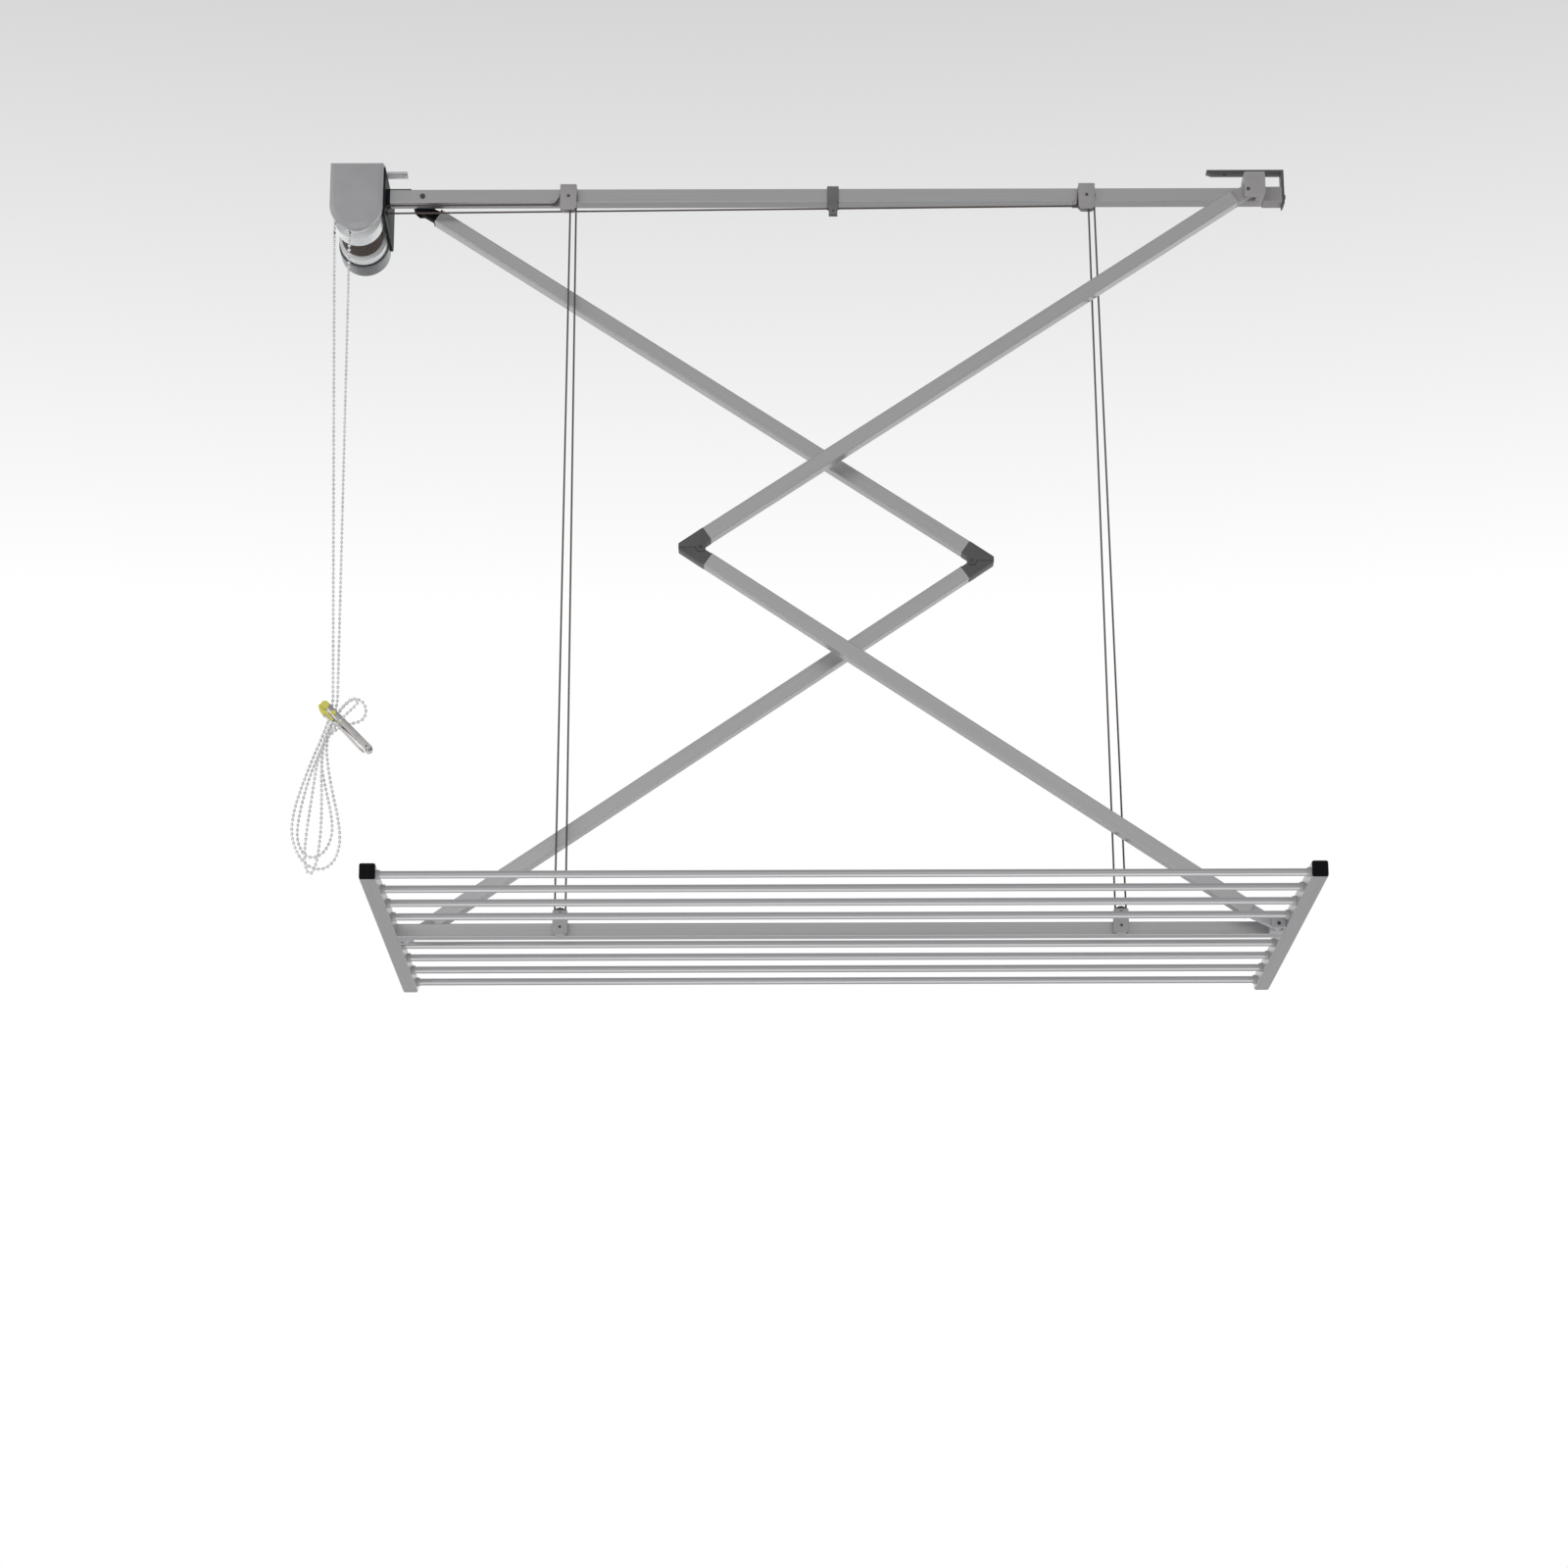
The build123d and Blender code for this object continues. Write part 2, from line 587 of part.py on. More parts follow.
keep(centre_guide, "centre_guide")

with BuildPart() as guide_roller:
    with BuildSketch(facing(guide_x, guide_cord_y + ear_half - gap, roller_z)):
        Circle(roller_r)
        Circle(1.5 + slide_fit, mode=Mode.SUBTRACT)
    extrude(amount=2 * ear_half - 2 * gap)
keep(guide_roller, "guide_roller")

# ---------------------------------------------------------------- arm brackets on the rail
slot_half = eye_t / 2 + gap
fork_wall = 4.5


def arm_bracket(mid_y, left, right, top, bottom):
    """Fork on the rail's front face that holds an arm's eye, open towards the arm and below."""
    front = mid_y - slot_half - fork_wall
    with BuildPart() as bracket:
        with Locations(((left + right) / 2, (front + rail_front) / 2, (top + bottom) / 2)):
            Box(right - left, rail_front - front, top - bottom)
        chamfer(bracket.edges().filter_by(Axis.Y).group_by(Axis.Z)[0].sort_by(Axis.X)[-1:], 7)
        fillet(bracket.edges().filter_by(Axis.Y).group_by(Axis.Z)[-1], 2)
        with Locations((pivot_x - 10, mid_y, pivot_top_z - 10)):
            Box(42, 2 * slot_half, 44, mode=Mode.SUBTRACT)
        with Locations((pivot_x, mid_y, pivot_top_z)):
            Cylinder(arm_pin_r, 60, rotation=(90, 0, 0), mode=Mode.SUBTRACT)
        with Locations((bolt_x, rail_front - 4, rail_z)):
            Cylinder(bolt_r, 10, rotation=(90, 0, 0), mode=Mode.SUBTRACT)
    return bracket


front_arm_bracket = arm_bracket(arm_y, pivot_x - 5.0, pivot_x + 24.0, -20.0, -57.0)
keep(front_arm_bracket, "front_arm_bracket")
rear_arm_bracket = half_turn(arm_bracket(-rear_arm_y, pivot_x - 14.0, pivot_x + 14.0, -26.0, -52.0))
keep(rear_arm_bracket, "rear_arm_bracket")


def arm_pin(mid_y, far_y, z, clear):
    """Pin through a fork, from just outside its outer wall to just short of the rail or beam."""
    front = mid_y - slot_half - fork_wall - 0.3
    return rod(along_y(pivot_x, front, z), arm_pin_r, far_y - front - clear)


# Pins on the rail: pulley axles, cord anchors, arm pivots, guide roller pin
front_arm_pin = arm_pin(arm_y, rail_front, pivot_top_z, 2.0)
rear_arm_pin = half_turn(arm_pin(-rear_arm_y, rail_front, pivot_top_z, 0.5))
roller_pin = rod(facing(guide_x, guide_cord_y + ear_half + 2.4, roller_z), 1.5, 2 * ear_half + 4.8)
with BuildPart() as rail_pins:
    for x, run_z in rail_pulleys.values():
        with BuildSketch(along_y(x, front_plate_y - 0.8, upper_z)):
            Circle(axle_r)
        extrude(amount=axle_len)
        dead_x = x + upper_pitch_r - anchor_gap
        with BuildSketch(along_y(dead_x, front_plate_y + plate_t, anchor_z)):
            Circle(anchor_r)
        extrude(amount=rail_front - plate_t - front_plate_y - plate_t)
    add(front_arm_pin.part)
    add(rear_arm_pin.part)
    add(roller_pin.part)
keep(rail_pins, "rail_pins")

bolt_bite = 4.0
# Bolts that hold the arm brackets, the end cap's screw and the side plate's screw
cross_bolt = rod(along_y(-bolt_x, rail_front, rail_z), bolt_r, rail_size + bolt_bite, 3.6, 1.4)
front_cross_bolt = half_turn(cross_bolt)
cap_screw = rod(Plane(origin=(cap_end + web_t, 0, rail_z), x_dir=(0, 1, 0), z_dir=(-1, 0, 0)), 1.6, 14.0, 3.6, 2.0)
side_screw = rod(Plane(origin=(side_plate_x, *side_screw_at), x_dir=(0, 1, 0), z_dir=(-1, 0, 0)), 1.6, 3.0, 3.2, 1.8)
with BuildPart() as frame_screws:
    add(cross_bolt.part)
    add(front_cross_bolt.part)
    add(cap_screw.part)
    add(side_screw.part)
keep(frame_screws, "frame_screws")

# ---------------------------------------------------------------- guide arms
cos_a = math.cos(math.radians(rest_angle))
sin_a = math.sin(math.radians(rest_angle))
upper_plane = Plane(origin=(elbow_x, arm_y, elbow_z), x_dir=(cos_a, 0, sin_a), z_dir=(0, -1, 0))
lower_plane = Plane(origin=(elbow_x, arm_y, elbow_z), x_dir=(cos_a, 0, -sin_a), z_dir=(0, -1, 0))
cheek_in = 5.0
tongue_half = cheek_in - 0.3
knuckle_r = 6.5
tip_gap = 0.3
inner_r = arm_tube / 2 - tube_wall - fit


def link_tube(plane, start, end):
    """Tube between two points of the link's plane, and the plane at each of its ends."""
    run = Vector(end[0] - start[0], end[1] - start[1], 0).normalized()
    here = plane.from_local_coords(Vector(start[0], start[1], 0))
    there = plane.from_local_coords(Vector(end[0], end[1], 0))
    way = (there - here).normalized()
    near = Plane(origin=here, x_dir=plane.z_dir, z_dir=way)
    far = Plane(origin=there, x_dir=plane.z_dir, z_dir=way * -1)
    tube = square_tube(near, (there - here).length, arm_tube, tube_wall)
    return tube, near, far


def plug(plane):
    """Square plug that fills a tube's end, from just outside the tube inwards."""
    with BuildPart() as block:
        with BuildSketch(plane.offset(-0.01)):
            Rectangle(2 * inner_r, 2 * inner_r)
        extrude(amount=plug_len)
        with BuildSketch(plane):
            RectangleRounded(arm_tube, arm_tube, tube_round)
        extrude(amount=-2.0)
    return block


def eye(plane, at, reach, radius, offset, half_h, plug_part):
    """End fitting: a plug in the tube, a bar and a round eye at the pivot."""
    with BuildPart() as fitting:
        with BuildSketch(plane.offset(-eye_t / 2)):
            with Locations((at, 0)):
                Circle(radius)
            with BuildLine():
                Polyline((at - reach + 1.0, offset - half_h), (at, -radius), (at, radius),
                         (at - reach + 1.0, offset + half_h), close=True)
            make_face()
        extrude(amount=eye_t)
        add(plug_part.part)
        with BuildSketch(plane.offset(-eye_t)):
            with Locations((at, 0)):
                Circle(arm_pin_r + slide_fit)
        extrude(amount=2 * eye_t, mode=Mode.SUBTRACT)
    return fitting


upper_tube, upper_near, upper_far = link_tube(upper_plane, (elbow_reach, upper_off_elbow),
                                              (link - top_reach, upper_off_top))
lower_tube, lower_near, lower_far = link_tube(lower_plane, (elbow_reach, lower_off_elbow),
                                              (link - foot_reach, lower_off_foot))
top_eye = eye(upper_plane, link, top_reach, 9.0, upper_off_top, 9.5, plug(upper_far))
rear_eye = eye(upper_plane, link, top_reach, 6.5, upper_off_top, 8.0, plug(upper_far))
foot = eye(lower_plane, link, foot_reach, 6.0, lower_off_foot, 8.0, plug(lower_far))

# Elbow halves: the upper one is the fork, the lower one the tongue; they meet on the bisector
upper_edge = upper_off_elbow + arm_tube / 2
lower_edge = lower_off_elbow - arm_tube / 2
upper_tip_x = (-elbow_tip + upper_edge * sin_a) / cos_a
lower_tip_x = (-elbow_tip - lower_edge * sin_a) / cos_a
bisector_tip = (-elbow_tip * cos_a, elbow_tip * sin_a)
inner_edge = upper_off_elbow - arm_tube / 2
half_depth = arm_tube / 2
block_end = elbow_reach - 1.0
with BuildPart() as upper_elbow:
    with BuildSketch(upper_plane.offset(-half_depth)):
        with BuildLine():
            Polyline((block_end, upper_edge), (upper_tip_x, upper_edge), (bisector_tip[0], bisector_tip[1] + tip_gap),
                     (-2, 2 * sin_a / cos_a + tip_gap), (block_end, inner_edge), close=True)
        make_face()
    extrude(amount=2 * half_depth)
    with BuildSketch(upper_plane.offset(-tongue_half - 0.3)):
        Circle(knuckle_r + 0.8)
    extrude(amount=2 * tongue_half + 0.6, mode=Mode.SUBTRACT)
    for start in (-half_depth, cheek_in):
        with BuildSketch(upper_plane.offset(start)):
            Circle(knuckle_r)
        extrude(amount=half_depth - cheek_in)
    add(plug(upper_near).part)
    with BuildSketch(upper_plane.offset(-20)):
        Circle(arm_pin_r)
    extrude(amount=40, mode=Mode.SUBTRACT)

with BuildPart() as lower_elbow:
    with BuildSketch(lower_plane.offset(-half_depth)):
        with BuildLine():
            Polyline((block_end, lower_edge), (lower_tip_x, lower_edge),
                     (bisector_tip[0], -bisector_tip[1] - tip_gap), (-2, -2 * sin_a / cos_a - tip_gap),
                     (3, inner_edge - 1), (block_end, inner_edge - 1), close=True)
        make_face()
    extrude(amount=2 * half_depth)
    for start in (-half_depth - 1, tongue_half):
        with BuildSketch(lower_plane.offset(start)):
            Circle(knuckle_r + 0.8)
        extrude(amount=half_depth - tongue_half + 1, mode=Mode.SUBTRACT)
    with BuildSketch(lower_plane.offset(-tongue_half)):
        Circle(knuckle_r)
    extrude(amount=2 * tongue_half)
    add(plug(lower_near).part)
    with BuildSketch(lower_plane.offset(-20)):
        Circle(arm_pin_r + slide_fit)
    extrude(amount=40, mode=Mode.SUBTRACT)

elbow_pin = rod(along_y(elbow_x, arm_y - half_depth - 0.3, elbow_z), arm_pin_r, 2 * half_depth + 0.6)

front_arm = {"upper_tube": upper_tube, "top_eye": top_eye, "upper_elbow": upper_elbow, "elbow_pin": elbow_pin,
             "lower_tube": lower_tube, "lower_elbow": lower_elbow, "foot": foot}
for piece, shape in front_arm.items():
    keep(shape, f"front_{piece}")
front_arm["top_eye"] = rear_eye
for piece, shape in front_arm.items():
    keep(half_turn(shape, rear_shift), f"rear_{piece}")

# ---------------------------------------------------------------- hanging rack
rail_run = rack_width - 2 * cap_plate
for side, sign in (("left", -1), ("right", 1)):
    tube = square_tube(Plane(origin=(sign * side_x, -rail_run / 2, tube_z), x_dir=(1, 0, 0), z_dir=(0, 1, 0)),
                       rail_run, rack_tube, tube_wall)
    with BuildPart() as rack_side:
        add(tube.part)
        for y in bar_ys:
            with Locations((sign * side_inner, y, tube_z), (sign * side_inner, -y, tube_z)):
                Cylinder(bar_r + 0.05, 4 * tube_wall, rotation=(0, 90, 0), mode=Mode.SUBTRACT)
    keep(rack_side, f"rack_side_{side}")

cap_inner = rack_tube - 2 * tube_wall - 2 * fit
with BuildPart() as rack_end_caps:
    for x in (-side_x, side_x):
        for sign in (-1, 1):
            end = Plane(origin=(x, sign * rack_width / 2, tube_z), x_dir=(1, 0, 0), z_dir=(0, -sign, 0))
            with BuildSketch(end):
                RectangleRounded(rack_tube, rack_tube, 2.4)
            extrude(amount=cap_plate)
            with BuildSketch(end.offset(cap_plate)):
                RectangleRounded(cap_inner, cap_inner, 0.8)
            extrude(amount=cap_plug)
keep(rack_end_caps, "rack_end_caps")

bar_half = side_inner + tube_wall + 9.0
for group, sign in (("front", -1), ("rear", 1)):
    with BuildPart() as bars:
        for y in bar_ys:
            with BuildSketch(along_x(-bar_half, sign * y, tube_z)):
                Circle(bar_r)
                Circle(bar_r - bar_wall, mode=Mode.SUBTRACT)
            extrude(amount=2 * bar_half)
    keep(bars, f"{group}_bars")

with BuildPart() as bar_bushes:
    for y in [sign * y for sign in (-1, 1) for y in bar_ys]:
        for start in (-side_inner, side_inner - bush_len):
            with BuildSketch(along_x(start, y, tube_z)):
                Circle(bush_r)
                Circle(bar_r, mode=Mode.SUBTRACT)
            extrude(amount=bush_len)
keep(bar_bushes, "bar_bushes")

centre_beam = square_tube(along_x(-side_inner, 0, beam_z), 2 * side_inner, beam_size, tube_wall)
keep(centre_beam, "centre_beam")

# Foot brackets: clevises on the beam's faces, hard against the side rails
foot_h = 13.5
stop_wall = 1.8             # wall behind the foot's eye, against the side rail


def foot_bracket(mid_y):
    """Fork on the beam's front face that holds the foot of an arm."""
    front = mid_y - slot_half - fork_wall
    with BuildPart() as bracket:
        with Locations(((pivot_x - 9 + side_inner) / 2, (front + beam_front) / 2, rack_bottom + foot_h / 2)):
            Box(side_inner - pivot_x + 9, beam_front - front, foot_h)
        with Locations((pivot_x - 10, mid_y, rack_bottom + foot_h / 2)):
            Box(2 * (side_inner - pivot_x - stop_wall) + 20 - 0.4, 2 * slot_half, 30, mode=Mode.SUBTRACT)
        with Locations((pivot_x, mid_y, pivot_foot_z)):
            Cylinder(arm_pin_r, 60, rotation=(90, 0, 0), mode=Mode.SUBTRACT)
    return bracket


with BuildPart() as foot_brackets:
    add(foot_bracket(arm_y).part)
    add(half_turn(foot_bracket(-rear_arm_y)).part)
keep(foot_brackets, "foot_brackets")

foot_pin = arm_pin(arm_y, beam_front, pivot_foot_z, 1.0)
rear_foot_pin = half_turn(arm_pin(-rear_arm_y, beam_front, pivot_foot_z, 0.5))
with BuildPart() as rack_pins:
    add(foot_pin.part)
    add(rear_foot_pin.part)
    for x in lower_pulleys.values():
        with BuildSketch(along_y(x, front_plate_y - 0.8, lower_z)):
            Circle(axle_r)
        extrude(amount=beam_front - front_plate_y + 0.8)
        with BuildSketch(along_y(x, front_plate_y - 0.4, beam_screw_z)):
            Circle(screw_r)
        extrude(amount=beam_front - front_plate_y + 0.4)
keep(rack_pins, "rack_pins")

# ---------------------------------------------------------------- operating chain and its clip
wrap_end = -100.0
with BuildPart() as chain_wrap:
    with BuildLine(facing(0, chain_y, 0)) as wrap_path:
        Line((strand_x[0], wrap_end), (strand_x[0], chain_wheel_z))
        ThreePointArc((strand_x[0], chain_wheel_z), (chain_wheel_x, chain_wheel_z + chain_pitch_r),
                      (strand_x[1], chain_wheel_z))
        Line((strand_x[1], chain_wheel_z), (strand_x[1], wrap_end))
    with BuildSketch(Plane(origin=(strand_x[0], chain_y, wrap_end), z_dir=(0, 0, 1))):
        Circle(chain_r)
    sweep(path=wrap_path.line)
keep(chain_wrap, "chain_wrap")

with BuildPart() as chain_strands:
    for top_x, low_x in zip(strand_x, strand_end_x):
        top_point = Vector(top_x, chain_y, wrap_end)
        low_point = Vector(low_x, chain_y, strand_end_z)
        for end_point in (top_point, low_point):
            with BuildSketch(Plane(origin=end_point)):
                Circle(chain_r)
        loft()
keep(chain_strands, "chain_strands")

clip_run = Vector(clip_tail[0] - clip_jaw[0], 0, clip_tail[1] - clip_jaw[1])
clip_len = clip_run.length
clip_plane = Plane(origin=(clip_jaw[0], chain_y, clip_jaw[1]), x_dir=clip_run.normalized(), z_dir=(0, -1, 0))

# Hank: the outer shape of three long loops below the clip and of the short loops above it
hank_sections = [(0, 0, 7, 5), (-6, -45, 15, 8), (-15, -100, 27, 11), (-17, -145, 32, 12), (-13, -180, 26, 11),
                 (-8, -200, 12, 6)]
with BuildPart() as chain_hank:
    for dx, dz, half_x, half_y in hank_sections:
        with BuildSketch(Plane(origin=(hank_top[0] + dx, chain_y, hank_top[1] + dz))):
            Ellipse(half_x, half_y)
    loft()
    with BuildSketch(clip_plane.offset(-4)):
        with Locations((37.0, clip_h / 2 + 15.0)):
            Ellipse(10.0, 14.0)
    extrude(amount=8)
keep(chain_hank, "chain_hank")

clip_pivot = (34.0, -1.5)
half_w = clip_w / 2
with BuildPart() as clip_body:
    with BuildSketch(clip_plane.offset(-half_w)):
        with BuildLine():
            Polyline((4, clip_h / 2), (clip_len, clip_h / 2), (clip_len, 0), (clip_len - 5, -1.5),
                     (28, -3.0), (0, -0.5), (0, clip_h / 2 - 3), close=True)
        make_face()
    extrude(amount=clip_w)
    with Locations(clip_plane):
        with Locations((clip_len / 2, -clip_sheet, 0)):
            Box(clip_len + 20, clip_h, clip_w - 2 * clip_sheet, mode=Mode.SUBTRACT)
    with BuildSketch(clip_plane.offset(-half_w - 1)):
        with Locations(clip_pivot):
            Circle(1.5)
        with Locations((clip_len - 6, 1.5)):
            Circle(1.3)
    extrude(amount=clip_w + 2, mode=Mode.SUBTRACT)
keep(clip_body, "clip_body")

lever_w = clip_w - 2 * clip_sheet - 1.0
with BuildPart() as clip_lever:
    with BuildSketch(clip_plane.offset(-lever_w / 2)):
        with BuildLine():
            Polyline((12, -9.5), (26, -9.5), (34, -6.5), (clip_len - 12, -7.5), (clip_len - 4, -6.5),
                     (clip_len - 4, -4.5), (clip_len - 12, -5.5), (40, -4.0), (37.5, 1.0), (30.5, 1.0),
                     (29, -4.5), (27, -7.5), (12, -7.5), close=True)
        make_face()
    extrude(amount=lever_w)
    with BuildSketch(clip_plane.offset(-half_w)):
        with Locations(clip_pivot):
            Circle(1.5 + slide_fit)
    extrude(amount=clip_w, mode=Mode.SUBTRACT)
keep(clip_lever, "clip_lever")

pad_w = clip_w - 2 * clip_sheet - 0.4
with BuildPart() as clip_jaw_fixed:
    with BuildSketch(clip_plane.offset(-pad_w / 2)):
        with BuildLine():
            Polyline((-3, 3.0), (0, 3.4), (26, 3.4), (26, -0.5), (4, -1.5), (-3, -1.0), close=True)
        make_face()
    extrude(amount=pad_w)
    rivet = clip_plane.offset(-half_w - 0.6)
    with BuildSketch(rivet):
        with Locations(clip_pivot):
            Circle(1.5)
    extrude(amount=clip_w + 1.2)
    with BuildSketch(clip_plane.offset(half_w)):
        with Locations((3.0, 1.0)):
            Circle(5.5)
        with Locations((19.0, 1.5)):
            Circle(3.2)
    extrude(amount=1.0)
keep(clip_jaw_fixed, "clip_jaw_fixed")

with BuildPart() as clip_jaw_moving:
    with BuildSketch(clip_plane.offset(-pad_w / 2)):
        with BuildLine():
            Polyline((-3, -2.2), (4, -2.4), (26, -4.6), (26, -7.5), (12, -7.5), (12, -10.5), (2, -9.0), (-3, -5.5),
                     close=True)
        make_face()
    extrude(amount=pad_w)
keep(clip_jaw_moving, "clip_jaw_moving")

# ---------------------------------------------------------------- sizes worth knowing
print("link length", round(link, 2), "rest angle", round(rest_angle, 3))
print("elbow", elbow_x, elbow_z, "lower pulley axis z", lower_z)
print("cord bend radii", 12.0, deflect_r, upper_pitch_r, lower_pitch_r)
print("chain bend radius", chain_pitch_r)
print("guide roller axis", guide_x, round(guide_cord_y, 4), round(roller_z, 4))
for name, tube_part, radius in (("cord_runs", cord_runs, cord_r), ("chain_wrap", chain_wrap, chain_r)):
    section = math.pi * radius ** 2
    print(name, "volume / section", round(tube_part.part.volume / section, 1))
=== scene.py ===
# %% [markdown]
# # A ceiling mounted pulley rack
# A laundry rack hangs from a rail on the ceiling. Two cords lift it, two elbow arms keep it
# level, and a bead chain turns the winch that winds the cords. The solid model already
# holds every tube, pin and bracket at its real size, so this lesson adds what a solid model
# leaves out: soft edges, wound cord, beads on a chain, and the finish of each material.

# %% Load the solid model
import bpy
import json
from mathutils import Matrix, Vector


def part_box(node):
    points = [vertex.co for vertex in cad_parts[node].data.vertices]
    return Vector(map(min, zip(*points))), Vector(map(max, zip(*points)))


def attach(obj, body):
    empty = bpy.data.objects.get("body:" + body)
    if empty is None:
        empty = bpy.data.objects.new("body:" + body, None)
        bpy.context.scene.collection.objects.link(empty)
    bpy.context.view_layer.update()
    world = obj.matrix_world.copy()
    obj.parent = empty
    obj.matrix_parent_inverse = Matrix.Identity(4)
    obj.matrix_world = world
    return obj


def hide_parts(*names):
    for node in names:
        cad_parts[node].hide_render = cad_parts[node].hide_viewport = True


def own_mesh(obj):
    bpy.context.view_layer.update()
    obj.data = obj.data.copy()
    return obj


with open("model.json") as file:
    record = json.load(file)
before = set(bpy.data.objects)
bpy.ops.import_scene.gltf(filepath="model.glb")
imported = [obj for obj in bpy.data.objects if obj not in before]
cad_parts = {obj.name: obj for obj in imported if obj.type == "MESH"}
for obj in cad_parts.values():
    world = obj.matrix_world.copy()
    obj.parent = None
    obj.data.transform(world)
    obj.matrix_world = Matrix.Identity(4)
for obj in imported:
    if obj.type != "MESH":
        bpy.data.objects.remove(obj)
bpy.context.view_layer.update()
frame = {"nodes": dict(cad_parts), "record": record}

import json
import math

import bmesh
import bpy
from mathutils import Matrix, Vector

bodies = frame["record"]["behaviour"]["bodies"]
bodies_of = {node: body for body, nodes in bodies.items() for node in nodes}
scene = bpy.context.scene
print("solid pieces:", len(bodies_of))

# %% [markdown]
# ## The view
# The rack is seen from below and in front, as someone standing in the room sees it. A long
# lens nearly five metres away keeps the uprights almost upright.

# %% Camera
camera_tilt, camera_yaw, camera_roll = 0.28989, -0.00391, -0.00395
camera_data = bpy.data.cameras.new("camera")
camera_data.sensor_width = 36.0
camera_data.lens = 87.9
camera_data.clip_end = 60.0
camera = bpy.data.objects.new("camera", camera_data)
camera.location = (-0.0916, -4.8700, -2.3405)
camera.rotation_euler = (Matrix.Rotation(camera_yaw, 4, "Z")
                         @ Matrix.Rotation(math.pi / 2 + camera_tilt, 4, "X")
                         @ Matrix.Rotation(camera_roll, 4, "Z")).to_euler()
scene.collection.objects.link(camera)
scene.camera = camera
scene.view_settings.view_transform = "Standard"
print("camera at", tuple(camera.location))

# %% [markdown]
# ## Room and light
# Satin metal shows what surrounds it. A pale floor far below brightens every underside, and
# a sky that turns from white at eye level to pale grey overhead keeps the upright faces a
# shade darker. Two wide panels give soft light without hard shadows.

# %% Floor
floor_level = -2.60
floor_reach = 9.0
floor_mesh = bpy.data.meshes.new("floor")
plate = bmesh.new()
bmesh.ops.create_grid(plate, x_segments=1, y_segments=1, size=floor_reach)
bmesh.ops.translate(plate, verts=plate.verts, vec=(0.0, 0.0, floor_level))
plate.to_mesh(floor_mesh)
plate.free()
floor = bpy.data.objects.new("floor", floor_mesh)
scene.collection.objects.link(floor)
floor_paint = bpy.data.materials.new("floor_paint")
floor_paint.use_nodes = True
floor_shader = floor_paint.node_tree.nodes["Principled BSDF"]
floor_shader.inputs["Base Color"].default_value = (0.80, 0.80, 0.80, 1.0)
floor_shader.inputs["Roughness"].default_value = 0.9
floor_mesh.materials.append(floor_paint)

# %% Sky
sky = bpy.data.worlds.new("sky")
scene.world = sky
sky.use_nodes = True
sky_nodes = sky.node_tree.nodes
sky_links = sky.node_tree.links
sky_nodes.clear()
direction = sky_nodes.new("ShaderNodeTexCoord")
height = sky_nodes.new("ShaderNodeSeparateXYZ")
sky_ramp = sky_nodes.new("ShaderNodeValToRGB")
sky_light = sky_nodes.new("ShaderNodeBackground")
sky_out = sky_nodes.new("ShaderNodeOutputWorld")
sky_links.new(direction.outputs["Generated"], height.inputs["Vector"])
sky_links.new(height.outputs["Z"], sky_ramp.inputs["Fac"])
sky_links.new(sky_ramp.outputs["Color"], sky_light.inputs["Color"])
sky_links.new(sky_light.outputs["Background"], sky_out.inputs["Surface"])
sky_ramp.color_ramp.elements[0].position = 0.33
sky_ramp.color_ramp.elements[0].color = (1.0, 1.0, 1.0, 1.0)
sky_ramp.color_ramp.elements[1].position = 0.52
sky_ramp.color_ramp.elements[1].color = (0.56, 0.56, 0.57, 1.0)
# The half of the sky behind the viewer is dimmer, so faces turned to the viewer stay a shade darker
front_dim = sky_nodes.new("ShaderNodeMapRange")
front_dim.inputs["From Min"].default_value = -0.30
front_dim.inputs["From Max"].default_value = 0.05
front_dim.inputs["To Min"].default_value = 0.78
front_dim.inputs["To Max"].default_value = 1.0
sky_links.new(height.outputs["Y"], front_dim.inputs["Value"])
sky_links.new(front_dim.outputs["Result"], sky_light.inputs["Strength"])


# %% Light panels
def light_panel(name, place, aim, size, power):
    data = bpy.data.lights.new(name, "AREA")
    data.shape = "RECTANGLE"
    data.size, data.size_y = size
    data.energy = power
    panel = bpy.data.objects.new(name, data)
    panel.location = place
    panel.rotation_euler = (Vector(aim) - Vector(place)).to_track_quat("-Z", "Y").to_euler()
    scene.collection.objects.link(panel)


rack_middle = (0.0, 0.0, -0.6)
light_panel("front_left_panel", (-2.6, -3.2, -0.6), rack_middle, (1.8, 1.8), 22.0)
light_panel("floor_glow", (0.0, -0.4, -2.45), rack_middle, (3.0, 2.2), 16.0)
print("lights ready")

# %% [markdown]
# ## The chain
# An endless bead chain runs over a wheel in the winch and hangs at the left. Its two runs
# are straight, and what is left over is folded into loops that a clip holds at hand height.
# The chain goes first, because its room decides how wide the whole object is.
# Its line is one smooth spline with few control points: down the left run, round the long
# loops and the two small ones, and up the right run.

